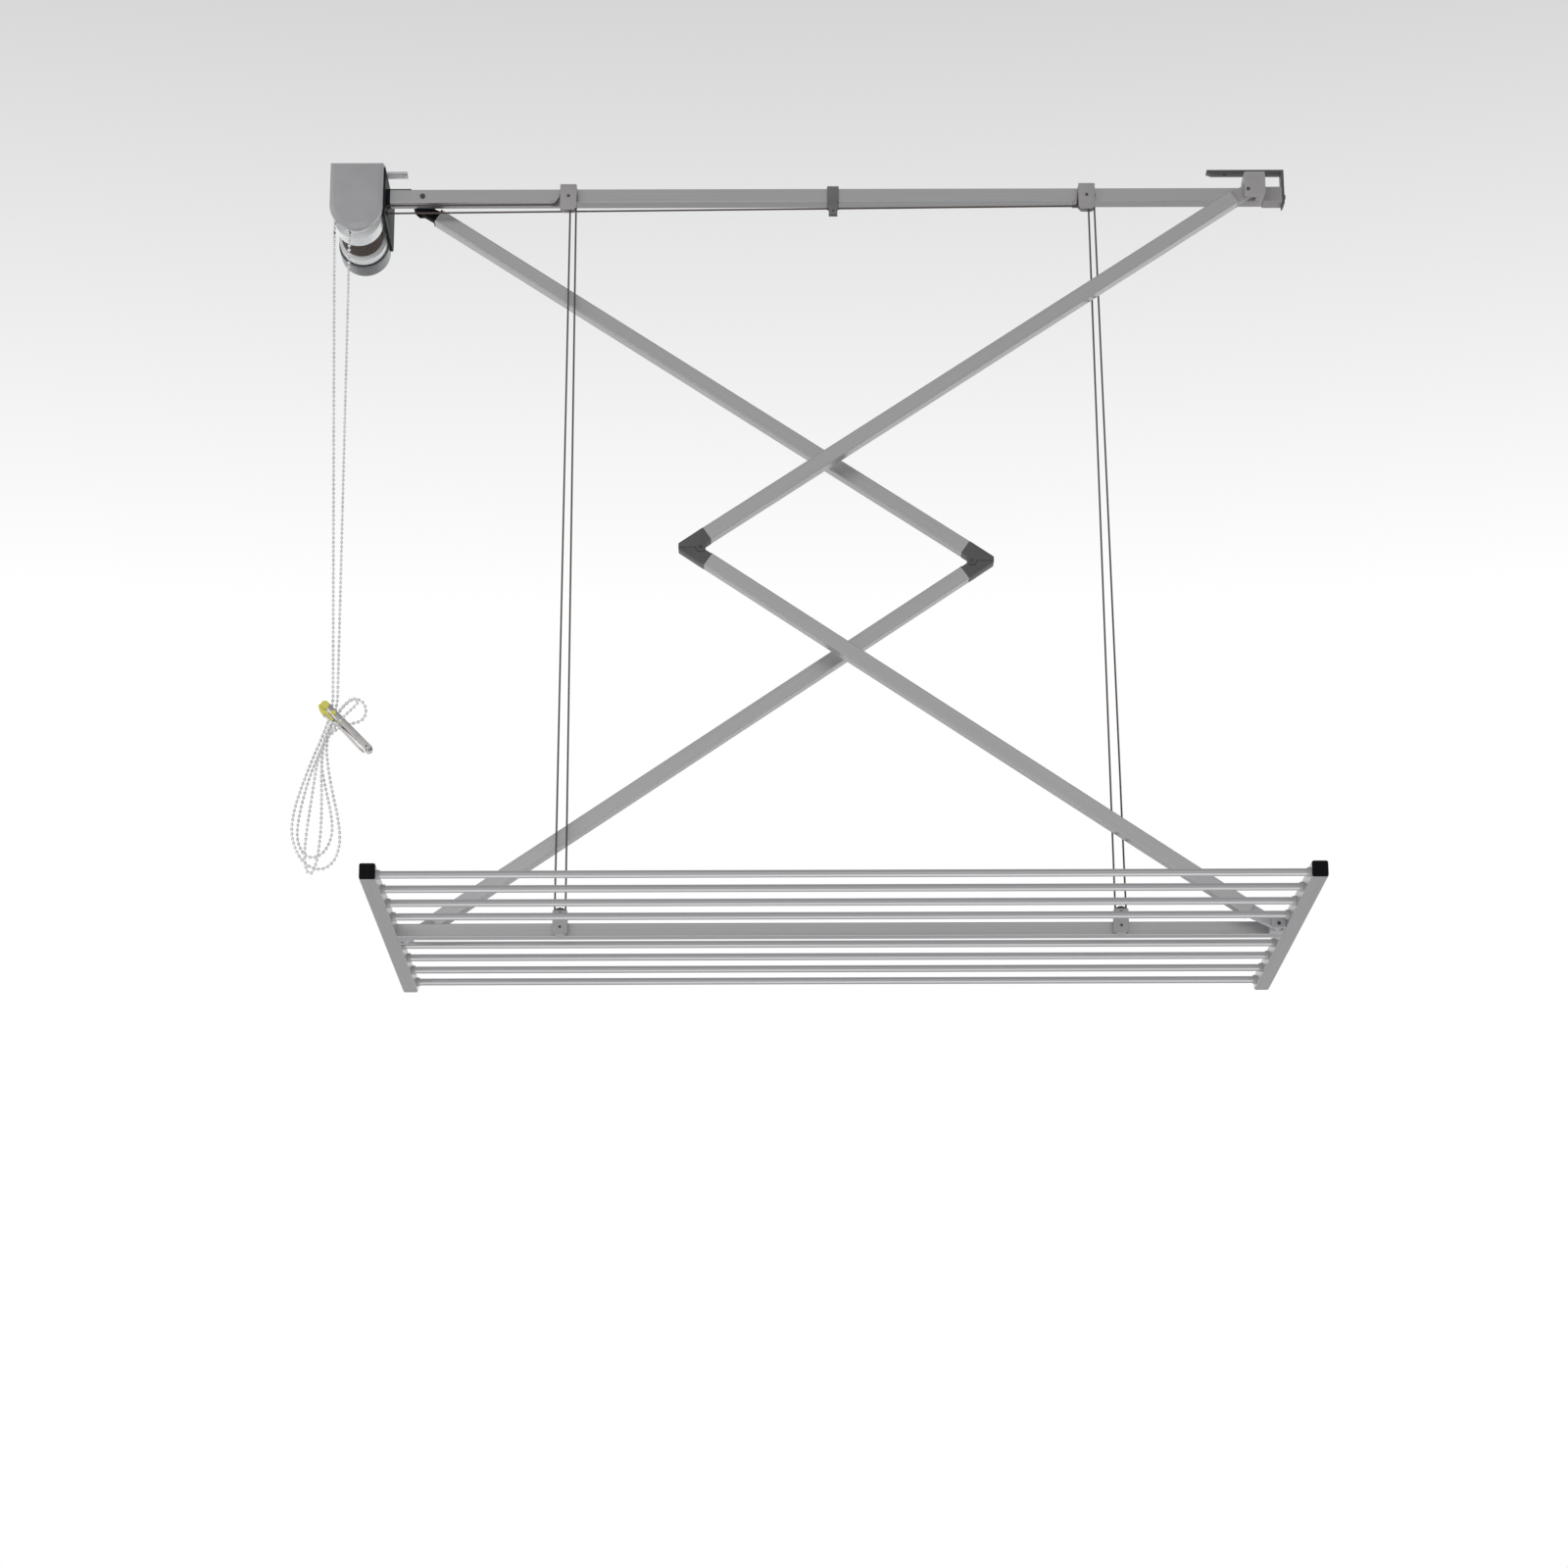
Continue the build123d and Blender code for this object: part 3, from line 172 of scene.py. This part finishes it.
# %% The line of the chain, in millimetres
chain_plane = -24.5
down_run = [(-690.0, 0, -100.0), (-689.3, 0, -128.0), (-672.2, 0, -757.0), (-671.5, 0, -783.0)]
wide_loop = [(-676, 0, -803), (-684, -1, -828), (-697, -2, -862), (-709, -2, -897), (-719, -3, -934),
             (-721, -2, -964), (-712, -1, -991), (-696, 0, -1008), (-677, 1, -1011), (-662, 1, -998),
             (-656, 2, -973), (-660, 2, -940), (-669, 2, -904), (-676, 2, -868), (-679, 2, -838),
             (-673, 2, -812)]
large_ring = [(-666, 1, -800), (-659, 0, -787), (-646, -1, -774), (-631, -1, -779), (-626, 0, -794),
              (-632, 1, -806), (-645, 2, -809), (-657, 3, -812)]
middle_loop = [(-672, 5, -820), (-684, 6, -838), (-696, 7, -868), (-706, 7, -903), (-713, 8, -938),
               (-715, 8, -966), (-706, 8, -988), (-691, 7, -994), (-676, 7, -984), (-667, 6, -961),
               (-670, 6, -932), (-678, 6, -900), (-685, 6, -868), (-685, 5, -838), (-676, 4, -815)]
small_ring = [(-668, -4, -802), (-657, -5, -787), (-644, -5, -776), (-636, -5, -781),
              (-645, -6, -791), (-658, -6, -804)]
narrow_loop = [(-668, -7, -818), (-681, -8, -836), (-688, -8, -860), (-692, -9, -892), (-696, -9, -928),
               (-700, -9, -962), (-702, -9, -994), (-699, -8, -1014), (-693, -8, -1020),
               (-687, -7, -1010), (-683, -7, -984), (-681, -7, -950), (-682, -6, -908),
               (-684, -5, -868), (-680, -4, -832), (-671, -2, -805)]
up_run = [(-665.5, 0, -783.0), (-665.6, 0, -757.0), (-668.7, 0, -128.0), (-669.0, 0, -100.0)]
chain_points = [Vector((x, y + chain_plane, z)) / 1000.0 for x, y, z in
                down_run + wide_loop + large_ring + middle_loop + small_ring + narrow_loop + up_run]
print("chain control points:", len(chain_points))


# %% [markdown]
# A spline only says where the chain runs. Turned into a mesh without thickness, it gives a
# fine line of points, and a short walk along that line finds evenly spaced places.

# %% Points along a smooth line
def smooth_line(points, fineness=12):
    curve = bpy.data.curves.new("line", "CURVE")
    curve.dimensions = "3D"
    curve.resolution_u = fineness
    spline = curve.splines.new("NURBS")
    spline.points.add(len(points) - 1)
    for knot, point in zip(spline.points, points):
        knot.co = (*point, 1.0)
    spline.order_u = 3
    spline.use_endpoint_u = True
    holder = bpy.data.objects.new("line", curve)
    mesh = bpy.data.meshes.new_from_object(holder)
    line = [vertex.co.copy() for vertex in mesh.vertices]
    bpy.data.meshes.remove(mesh)
    bpy.data.objects.remove(holder)
    bpy.data.curves.remove(curve)
    return line


def line_length(line):
    return sum((b - a).length for a, b in zip(line, line[1:]))


def even_places(line, count):
    step = line_length(line) / (count - 1)
    places = [line[0].copy()]
    travelled = 0.0
    for a, b in zip(line, line[1:]):
        stretch = (b - a).length
        while len(places) < count and travelled + stretch >= len(places) * step - 1e-9:
            places.append(a.lerp(b, (len(places) * step - travelled) / stretch))
        travelled += stretch
    return places


chain_line = smooth_line(chain_points)


# %% [markdown]
# ## Helpers for pieces
# Every finished piece is a mesh whose place is in its vertices. It rides on one body of the
# solid model, so that it moves with it.

# %% Finish a piece
def finish_piece(name, mesh_work, body, material, stands_for=(), smooth_below=40.0):
    mesh = bpy.data.meshes.new(name)
    for face in mesh_work.faces:
        face.smooth = True
    for edge in mesh_work.edges:
        if len(edge.link_faces) == 2:
            edge.smooth = edge.calc_face_angle(0.0) < math.radians(smooth_below)
    mesh_work.to_mesh(mesh)
    mesh_work.free()
    mesh.materials.append(material)
    piece = bpy.data.objects.new(name, mesh)
    scene.collection.objects.link(piece)
    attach(piece, body)
    if stands_for:
        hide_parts(*stands_for)
    return piece


def sleeve(mesh_work, line, radius, sides=10):
    """A tube round a line, with its own map: once round in u, metres along in v."""
    layer = mesh_work.loops.layers.uv.verify()
    ahead = (line[1] - line[0]).normalized()
    turn = ahead.to_track_quat("Z", "Y").to_matrix()
    ring = bmesh.ops.create_circle(mesh_work, cap_ends=False, segments=sides, radius=radius,
                                   matrix=Matrix.Translation(line[0]) @ turn.to_4x4())["verts"]
    start_ring = ring
    edges = [e for e in mesh_work.edges if e.verts[0] in set(ring) and e.verts[1] in set(ring)]
    along = 0.0
    for here, there, beyond in zip(line, line[1:], line[2:] + [line[-1]]):
        made = bmesh.ops.extrude_edge_only(mesh_work, edges=edges)["geom"]
        ring = [g for g in made if isinstance(g, bmesh.types.BMVert)]
        edges = [g for g in made if isinstance(g, bmesh.types.BMEdge)]
        faces = [g for g in made if isinstance(g, bmesh.types.BMFace)]
        edges = [e for e in edges if e.verts[0] in set(ring) and e.verts[1] in set(ring)]
        new_ahead = ((there - here).normalized() + (beyond - there).normalized()).normalized()
        if beyond is there or (beyond - there).length < 1e-9:
            new_ahead = (there - here).normalized()
        twist = ahead.rotation_difference(new_ahead).to_matrix().to_4x4()
        bmesh.ops.transform(mesh_work, verts=ring,
                            matrix=Matrix.Translation(there) @ twist @ Matrix.Translation(-here))
        step = (there - here).length
        for face in faces:
            centre = face.calc_center_median()
            for loop in face.loops:
                is_new = loop.vert in set(ring)
                middle = there if is_new else here
                out = loop.vert.co - middle
                mid_out = centre - (here + there) / 2
                side = new_ahead.orthogonal().normalized()
                other = new_ahead.cross(side)
                angle = math.atan2(out.dot(other), out.dot(side))
                base = math.atan2(mid_out.dot(other), mid_out.dot(side))
                while angle - base > math.pi:
                    angle -= 2 * math.pi
                while base - angle > math.pi:
                    angle += 2 * math.pi
                loop[layer].uv = (angle / (2 * math.pi), along + (step if is_new else 0.0))
        along += step
        ahead = new_ahead
    bmesh.ops.contextual_create(mesh_work, geom=start_ring)
    bmesh.ops.contextual_create(mesh_work, geom=ring)


# %% [markdown]
# Moulded and folded parts never have knife edges. This takes a copy of a solid piece, merges
# it into clean faces and rounds its sharp edges a little, so that they catch light. Edges
# that are short beside the rounding keep their corner.

# %% Round the edges of a solid piece
weld_distance = 2e-6
flat_angle = math.radians(1.5)
sharp_angle = math.radians(32.0)
shortest_edge = 3
rounding_steps = 2


def softened(node, width, material):
    work = bmesh.new()
    work.from_mesh(frame["nodes"][node].data)
    bmesh.ops.remove_doubles(work, verts=work.verts, dist=weld_distance)
    bmesh.ops.dissolve_limit(work, angle_limit=flat_angle, use_dissolve_boundaries=False,
                             verts=work.verts, edges=work.edges)
    sharp = [e for e in work.edges
             if len(e.link_faces) == 2 and e.calc_face_angle(0.0) > sharp_angle
             and e.calc_length() > shortest_edge * width]
    bmesh.ops.bevel(work, geom=sharp, offset=width, offset_type="OFFSET", segments=rounding_steps,
                    profile=0.5, affect="EDGES", clamp_overlap=True, material=-1)
    finish_piece(node + "_finished", work, bodies_of[node], material, [node], 30.0)


# %% [markdown]
# ## Finishes
# Each finish is built from noise at the scale of the real surface. Extruded aluminium has
# hair lines along its length, moulded plastic a fine grain, braided cord two sets of
# crossing strands. The patterns read object coordinates, or the piece's own map on a cord.

# %% A starting point for every finish
def new_finish(name, colour, metallic=0.0, roughness=0.5):
    material = bpy.data.materials.new(name)
    material.use_nodes = True
    tree = material.node_tree
    shader = tree.nodes["Principled BSDF"]
    shader.inputs["Base Color"].default_value = (*colour, 1.0)
    shader.inputs["Metallic"].default_value = metallic
    shader.inputs["Roughness"].default_value = roughness
    return material, tree, shader


def grain(tree, scale, stretch=(1.0, 1.0, 1.0), turn=(0.0, 0.0, 0.0), detail=3.0, source="Object"):
    """A noise pattern, stretched and turned as asked."""
    place = tree.nodes.new("ShaderNodeTexCoord")
    turned = tree.nodes.new("ShaderNodeMapping")
    turned.vector_type = "TEXTURE"
    turned.inputs["Rotation"].default_value = turn
    spread = tree.nodes.new("ShaderNodeMapping")
    spread.inputs["Scale"].default_value = stretch
    noise = tree.nodes.new("ShaderNodeTexNoise")
    noise.inputs["Scale"].default_value = scale
    noise.inputs["Detail"].default_value = detail
    tree.links.new(place.outputs[source], turned.inputs["Vector"])
    tree.links.new(turned.outputs["Vector"], spread.inputs["Vector"])
    tree.links.new(spread.outputs["Vector"], noise.inputs["Vector"])
    return noise.outputs["Fac"]


def shade_between(tree, factor, dark, light, low, high):
    ramp = tree.nodes.new("ShaderNodeValToRGB")
    ramp.color_ramp.elements[0].position = low
    ramp.color_ramp.elements[0].color = (*dark, 1.0)
    ramp.color_ramp.elements[1].position = high
    ramp.color_ramp.elements[1].color = (*light, 1.0)
    tree.links.new(factor, ramp.inputs["Fac"])
    return ramp.outputs["Color"]


def value_between(tree, factor, low, high):
    spread = tree.nodes.new("ShaderNodeMapRange")
    spread.inputs["To Min"].default_value = low
    spread.inputs["To Max"].default_value = high
    tree.links.new(factor, spread.inputs["Value"])
    return spread.outputs["Result"]


def add_bump(tree, shader, factor, strength, depth):
    bump = tree.nodes.new("ShaderNodeBump")
    bump.inputs["Strength"].default_value = strength
    bump.inputs["Distance"].default_value = depth
    tree.links.new(factor, bump.inputs["Height"])
    tree.links.new(bump.outputs["Normal"], shader.inputs["Normal"])


def tinted(colour, share):
    return tuple(min(1.0, part * share) for part in colour)


def vary_colour(tree, shader, factor, colour, darkest, lightest, low=0.3, high=0.7):
    """Base colour between two shares of one colour, following a pattern."""
    shades = shade_between(tree, factor, tinted(colour, darkest), tinted(colour, lightest), low, high)
    tree.links.new(shades, shader.inputs["Base Color"])


def vary_roughness(tree, shader, factor, low, high):
    tree.links.new(value_between(tree, factor, low, high), shader.inputs["Roughness"])


# %% Satin aluminium, with hair lines along the tube
def satin_aluminium(name, stretch, turn=(0.0, 0.0, 0.0), colour=(0.47, 0.47, 0.475),
                    roughness=0.34):
    material, tree, shader = new_finish(name, colour, 0.85, roughness)
    lines = grain(tree, 1.0, stretch, turn, 4.0)
    clouds = grain(tree, 7.0, detail=2.0)
    vary_colour(tree, shader, lines, colour, 0.93, 1.05)
    vary_roughness(tree, shader, clouds, roughness - 0.05, roughness + 0.06)
    add_bump(tree, shader, lines, 0.10, 0.00002)
    return material


hair_x = (2.5, 1400.0, 1400.0)
hair_y = (1400.0, 2.5, 1400.0)
front_upper_low, front_upper_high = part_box("front_upper_tube")
arm_size = front_upper_high - front_upper_low
arm_tilt = math.atan2(arm_size.z, arm_size.x)
rail_finish = satin_aluminium("rail_aluminium", hair_x)
side_finish = satin_aluminium("side_tube_aluminium", hair_y)
rising_finish = satin_aluminium("rising_tube_aluminium", hair_x, (0.0, -arm_tilt, 0.0))
falling_finish = satin_aluminium("falling_tube_aluminium", hair_x, (0.0, arm_tilt, 0.0))
bar_finish = satin_aluminium("bar_aluminium", hair_x, colour=(0.52, 0.52, 0.53), roughness=0.30)
print("arm tilt:", round(math.degrees(arm_tilt), 1))


# %% Moulded plastic with a fine grain
def moulded(name, colour, roughness=0.45, grain_depth=0.00003, coat=0.0):
    material, tree, shader = new_finish(name, colour, 0.0, roughness)
    fine = grain(tree, 900.0, detail=2.0)
    clouds = grain(tree, 22.0, detail=3.0)
    vary_colour(tree, shader, clouds, colour, 0.92, 1.06)
    vary_roughness(tree, shader, clouds, roughness - 0.05, roughness + 0.07)
    add_bump(tree, shader, fine, 0.35, grain_depth)
    shader.inputs["Coat Weight"].default_value = coat
    return material


guide_grey = moulded("guide_plastic", (0.16, 0.155, 0.155), 0.50)
warm_grey = moulded("bracket_plastic", (0.36, 0.345, 0.345), 0.50)
elbow_grey = moulded("elbow_plastic", (0.085, 0.085, 0.085), 0.50)
# Near-black plastic for the rack's end caps; the rear arm bracket and the rear top eye wear it too, as
# painted shade.
cap_black_and_painted_shade = moulded("cap_plastic_and_painted_shade", (0.002, 0.002, 0.004), 0.60)
cap_black_and_painted_shade.node_tree.nodes["Principled BSDF"].inputs["Specular IOR Level"].default_value = 0.12
cover_grey = moulded("cover_plastic", (0.38, 0.38, 0.39), 0.32, 0.00002, 0.25)
shell_grey = moulded("shell_plastic", (0.13, 0.145, 0.155), 0.30, 0.00002, 0.2)
drum_white = moulded("drum_plastic", (0.86, 0.87, 0.87), 0.22, 0.00001, 0.3)
nylon_dark = moulded("nylon", (0.05, 0.05, 0.055), 0.42)
clip_yellow = moulded("dipped_vinyl", (0.70, 0.66, 0.10), 0.35, 0.00005, 0.2)
bush_grey = moulded("bush_plastic", (0.42, 0.42, 0.42), 0.5)
foot_grey = moulded("foot_plastic", (0.40, 0.40, 0.41), 0.45)


# %% Steel: plated, brushed and powder coated
def steel(name, colour, roughness, stretch, depth=0.00002):
    material, tree, shader = new_finish(name, colour, 1.0, roughness)
    scratches = grain(tree, 1.0, stretch, detail=5.0)
    stains = grain(tree, 60.0, detail=4.0)
    vary_colour(tree, shader, stains, colour, 0.86, 1.08)
    vary_roughness(tree, shader, scratches, roughness * 0.7, roughness * 1.4)
    add_bump(tree, shader, scratches, 0.3, depth)
    return material


pin_steel = steel("pin_steel", (0.58, 0.57, 0.56), 0.30, (600.0, 60.0, 600.0))
dark_pin = steel("dark_pin_steel", (0.10, 0.10, 0.10), 0.45, (600.0, 60.0, 600.0))
zinc_plate = steel("zinc_plate", (0.72, 0.72, 0.74), 0.38, (200.0, 900.0, 200.0))
clip_steel = steel("clip_steel", (0.55, 0.53, 0.52), 0.30, (300.0, 900.0, 300.0))
bead_steel = steel("bead_steel", (0.80, 0.80, 0.82), 0.24, (400.0, 400.0, 400.0), 0.00001)


def powder_coat(name, colour, roughness=0.42):
    material, tree, shader = new_finish(name, colour, 0.25, roughness)
    orange_peel = grain(tree, 420.0, detail=1.5)
    clouds = grain(tree, 14.0, detail=3.0)
    vary_colour(tree, shader, clouds, colour, 0.85, 1.12)
    vary_roughness(tree, shader, clouds, roughness - 0.06, roughness + 0.08)
    add_bump(tree, shader, orange_peel, 0.3, 0.00006)
    return material


bracket_coat = powder_coat("bracket_coat", (0.10, 0.10, 0.105))
# A dark coat taken down to near-black navy: painted shade for the winch side plate and cheek, whose
# side faces stand in shadow.
winch_coat_painted_shade = powder_coat("winch_coat_painted_shade", (0.008, 0.012, 0.016), 0.55)
winch_coat_painted_shade.node_tree.nodes["Principled BSDF"].inputs["Specular IOR Level"].default_value = 0.15


# %% Braided cord
def braided(name, colour, source, across, along):
    """Two sets of strands that cross: a painted highlight where they rise, painted shade in the gaps.
    """
    material, tree, shader = new_finish(name, colour, 0.0, 0.75)
    place = tree.nodes.new("ShaderNodeTexCoord")
    heights = []
    for slant in (1.0, -1.0):
        turned = tree.nodes.new("ShaderNodeMapping")
        turned.inputs["Scale"].default_value = (across, slant * along, along)
        strands = tree.nodes.new("ShaderNodeTexWave")
        strands.bands_direction = "DIAGONAL"
        strands.inputs["Scale"].default_value = 1.0
        strands.inputs["Distortion"].default_value = 0.6
        tree.links.new(place.outputs[source], turned.inputs["Vector"])
        tree.links.new(turned.outputs["Vector"], strands.inputs["Vector"])
        heights.append(strands.outputs["Fac"])
    crossing = tree.nodes.new("ShaderNodeMath")
    crossing.operation = "MULTIPLY"
    tree.links.new(heights[0], crossing.inputs[0])
    tree.links.new(heights[1], crossing.inputs[1])
    # The weave is real; its colour is painted from strand height, lighter on the crowns and darker in
    # the gaps.
    vary_colour(tree, shader, crossing.outputs["Value"], colour, 0.55, 1.5, 0.0, 0.8)
    add_bump(tree, shader, crossing.outputs["Value"], 0.7, 0.0002)
    shader.inputs["Sheen Weight"].default_value = 0.25
    return material


cord_colour = (0.085, 0.062, 0.050)
sleeve_braid = braided("sleeve_braid", cord_colour, "UV", 2.0, 160.0)
solid_braid = braided("solid_braid", cord_colour, "Object", 160.0, 160.0)
print("finishes:", len(bpy.data.materials))

# %% [markdown]
# ## Tubes and bars
# These extrusions already have their true shape, so they stay as they are and only take a
# finish. The hair lines follow each tube.

# %% Dress the solid pieces that stay
def dress(node, material):
    piece = frame["nodes"][node]
    piece.data.materials.clear()
    piece.data.materials.append(material)


stays = {
    "ceiling_rail": rail_finish, "centre_beam": rail_finish,
    "rack_side_left": side_finish, "rack_side_right": side_finish,
    "front_upper_tube": rising_finish, "rear_lower_tube": rising_finish,
    "front_lower_tube": falling_finish, "rear_upper_tube": falling_finish,
    "front_bars": bar_finish, "rear_bars": bar_finish,
    "bar_bushes": bush_grey, "chain_wheel": nylon_dark, "drum": drum_white,
    "upper_sheave_left": nylon_dark, "upper_sheave_right": nylon_dark,
    "lower_sheave_left": nylon_dark, "lower_sheave_right": nylon_dark, "guide_roller": nylon_dark,
    "winch_axles": pin_steel, "brake_spring": pin_steel, "frame_screws": dark_pin,
    "rail_pins": dark_pin, "rack_pins": dark_pin,
    "front_elbow_pin": dark_pin, "rear_elbow_pin": dark_pin,
    "cord_runs": solid_braid, "lower_cord_wraps": solid_braid,
}
for node, material in stays.items():
    dress(node, material)
print("dressed:", len(stays))

# %% [markdown]
# ## Moulded and folded parts
# Brackets, caps, eyes, elbows and the clip get rounded edges. The number beside each piece
# is the width of its rounding.

# %% Rounded parts
rounded = {
    "winch_front_cover": (0.0008, cover_grey), "winch_rear_housing": (0.0008, shell_grey),
    # The winch side plate and cheek take the near-black coat as painted shade.
    "winch_ceiling_plate": (0.0004, zinc_plate), "winch_side_plate": (0.0004, winch_coat_painted_shade),
    "winch_cheek": (0.0003, winch_coat_painted_shade),
    "right_ceiling_bracket": (0.0004, bracket_coat), "rail_end_cap": (0.0005, warm_grey),
    "upper_pulley_bracket_left": (0.0003, warm_grey), "upper_pulley_bracket_right": (0.0003, warm_grey),
    "lower_pulley_bracket_left": (0.0003, warm_grey), "lower_pulley_bracket_right": (0.0003, warm_grey),
    "centre_guide": (0.0004, guide_grey),
    # The rear arm bracket and rear top eye are near-black as painted shade, while the front ones are
    # warm grey.
    "front_arm_bracket": (0.0006, warm_grey), "rear_arm_bracket": (0.0006, cap_black_and_painted_shade),
    "front_top_eye": (0.0004, warm_grey), "rear_top_eye": (0.0004, cap_black_and_painted_shade),
    "front_upper_elbow": (0.0005, elbow_grey), "front_lower_elbow": (0.0005, elbow_grey),
    "rear_upper_elbow": (0.0005, elbow_grey), "rear_lower_elbow": (0.0005, elbow_grey),
    "front_foot": (0.0004, foot_grey), "rear_foot": (0.0004, foot_grey),
    "foot_brackets": (0.0005, foot_grey), "rack_end_caps": (0.0006, cap_black_and_painted_shade),
    "clip_body": (0.0002, clip_steel), "clip_lever": (0.0002, clip_steel),
    "clip_jaw_fixed": (0.0003, clip_yellow), "clip_jaw_moving": (0.0004, clip_yellow),
}
for node, (width, material) in rounded.items():
    softened(node, width, material)
print("rounded:", len(rounded))

# %% [markdown]
# ## Lift cords
# The four falls between the upper and the lower pulleys are straight. When the rack goes up
# they get shorter.

# %% Falls
falls_low, falls_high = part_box("cord_falls")
cord_radius = 0.00125
fall_rings = 41
fall_vertices = [v.co for v in frame["nodes"]["cord_falls"].data.vertices]


def ends_at(level):
    """Middles of the falls' four round ends at a height, from left to right."""
    groups = []
    for x in sorted(round(co.x, 4) for co in fall_vertices if abs(co.z - level) < 1e-5):
        if not groups or x - groups[-1][-1] > 2 * cord_radius:
            groups.append([])
        groups[-1].append(x)
    return [(group[0] + group[-1]) / 2 for group in groups]


falls_work = bmesh.new()
fall_y = (falls_low.y + falls_high.y) / 2
fall_ends = list(zip(ends_at(falls_high.z), ends_at(falls_low.z)))
for top_x, low_x in fall_ends:
    top, bottom = Vector((top_x, fall_y, falls_high.z)), Vector((low_x, fall_y, falls_low.z))
    sleeve(falls_work, even_places([top, bottom], fall_rings), cord_radius)
falls = finish_piece("cord_falls_braided", falls_work, "base", sleeve_braid, ["cord_falls"])

# %% [markdown]
# ## Cord on the drum
# A solid ring stands for the wound cord. Here a small circle is spun round the drum's axis
# and moved along it at the same time, which gives the turns side by side. A plain core
# closes the gaps between them.

# %% Windings
wound_low, wound_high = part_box("cord_windings")
wound_middle = (wound_low + wound_high) / 2
wound_radius = (wound_high.x - wound_low.x) / 2
turns = 16
steps_per_turn = 40
turn_pitch = (wound_high.y - wound_low.y - 2 * cord_radius) / turns
core_radius = wound_radius - 1.4 * cord_radius
start = Vector((wound_middle.x, wound_low.y + cord_radius,
                wound_middle.z + wound_radius - cord_radius))
wind = bmesh.new()
bmesh.ops.create_circle(wind, cap_ends=True, segments=8, radius=cord_radius,
                        matrix=Matrix.Translation(start) @ Matrix.Rotation(math.pi / 2, 4, "Y"))
bmesh.ops.spin(wind, geom=wind.verts[:] + wind.edges[:] + wind.faces[:], cent=wound_middle,
               axis=(0.0, 1.0, 0.0), dvec=(0.0, turn_pitch / steps_per_turn, 0.0),
               angle=2 * math.pi * turns, steps=steps_per_turn * turns,
               use_merge=False, use_duplicate=False)
bmesh.ops.create_cone(wind, cap_ends=True, segments=64, radius1=core_radius, radius2=core_radius,
                      depth=wound_high.y - wound_low.y,
                      matrix=Matrix.Translation(wound_middle) @ Matrix.Rotation(math.pi / 2, 4, "X"))
bmesh.ops.recalc_face_normals(wind, faces=wind.faces)
finish_piece("cord_windings_wound", wind, "drum", solid_braid, ["cord_windings"])
print("turns of cord:", turns)


# %% [markdown]
# ## Beads
# A bead chain is hollow steel balls on short wire links. Each ball is a small sphere of
# eighty faces, set at every step of the line, with a thin wire through all of them.

# %% Bead chain
bead_step = 0.0064
bead_radius = 0.00225
wire_radius = 0.0006
wire_sides = 5
bead_smoothing = 80.0


def bead_chain(line):
    work = bmesh.new()
    count = max(2, round(line_length(line) / bead_step) + 1)
    places = even_places(line, count)
    sleeve(work, places, wire_radius, wire_sides)
    for place in places:
        bmesh.ops.create_icosphere(work, subdivisions=2, radius=bead_radius,
                                   matrix=Matrix.Translation(place))
    return work, count


chain_work, bead_count = bead_chain(chain_line)
chain = finish_piece("bead_chain", chain_work, "base", bead_steel,
                     ["chain_strands", "chain_hank"], bead_smoothing)
print("beads:", bead_count)

# %% Chain over the wheel, inside the winch
wrap_low, wrap_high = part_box("chain_wrap")
wrap_reach = (wrap_high.x - wrap_low.x) / 2 - bead_radius
wrap_centre = Vector(((wrap_low.x + wrap_high.x) / 2, (wrap_low.y + wrap_high.y) / 2,
                      wrap_high.z - bead_radius - wrap_reach))
wrap_line = [Vector((wrap_centre.x - wrap_reach, wrap_centre.y, wrap_low.z))]
wrap_steps = 24
for step in range(wrap_steps + 1):
    angle = math.pi * (1 - step / wrap_steps)
    wrap_line.append(wrap_centre + Vector((math.cos(angle), 0.0, math.sin(angle))) * wrap_reach)
wrap_line.append(Vector((wrap_centre.x + wrap_reach, wrap_centre.y, wrap_low.z)))
wrap_work, wrap_count = bead_chain(wrap_line)
finish_piece("bead_chain_wrap", wrap_work, "base", bead_steel, ["chain_wrap"], bead_smoothing)
print("beads over the wheel:", wrap_count)

# %% [markdown]
# ## The clip's ring
# A wire ring hangs in the hole at the clip's tail.

# %% Ring
body_low, body_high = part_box("clip_body")
ring_radius, ring_wire = 0.0042, 0.0007
ring_inset, ring_rise = 0.0046, 0.0010
ring_centre = Vector((body_high.x - ring_inset, (body_low.y + body_high.y) / 2, body_low.z + ring_rise))
ring_work = bmesh.new()
bmesh.ops.create_circle(ring_work, cap_ends=False, segments=8, radius=ring_wire,
                        matrix=Matrix.Translation(ring_centre + Vector((ring_radius, 0.0, 0.0))))
bmesh.ops.spin(ring_work, geom=ring_work.verts[:] + ring_work.edges[:], cent=ring_centre,
               axis=(0.0, 1.0, 0.0), angle=2 * math.pi, steps=28, use_merge=True,
               use_duplicate=False)
bmesh.ops.remove_doubles(ring_work, verts=ring_work.verts, dist=1e-6)
bmesh.ops.recalc_face_normals(ring_work, faces=ring_work.faces)
ring = finish_piece("clip_ring", ring_work, "base", clip_steel)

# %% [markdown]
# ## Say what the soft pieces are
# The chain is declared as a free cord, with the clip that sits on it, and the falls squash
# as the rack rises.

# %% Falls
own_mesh(falls)
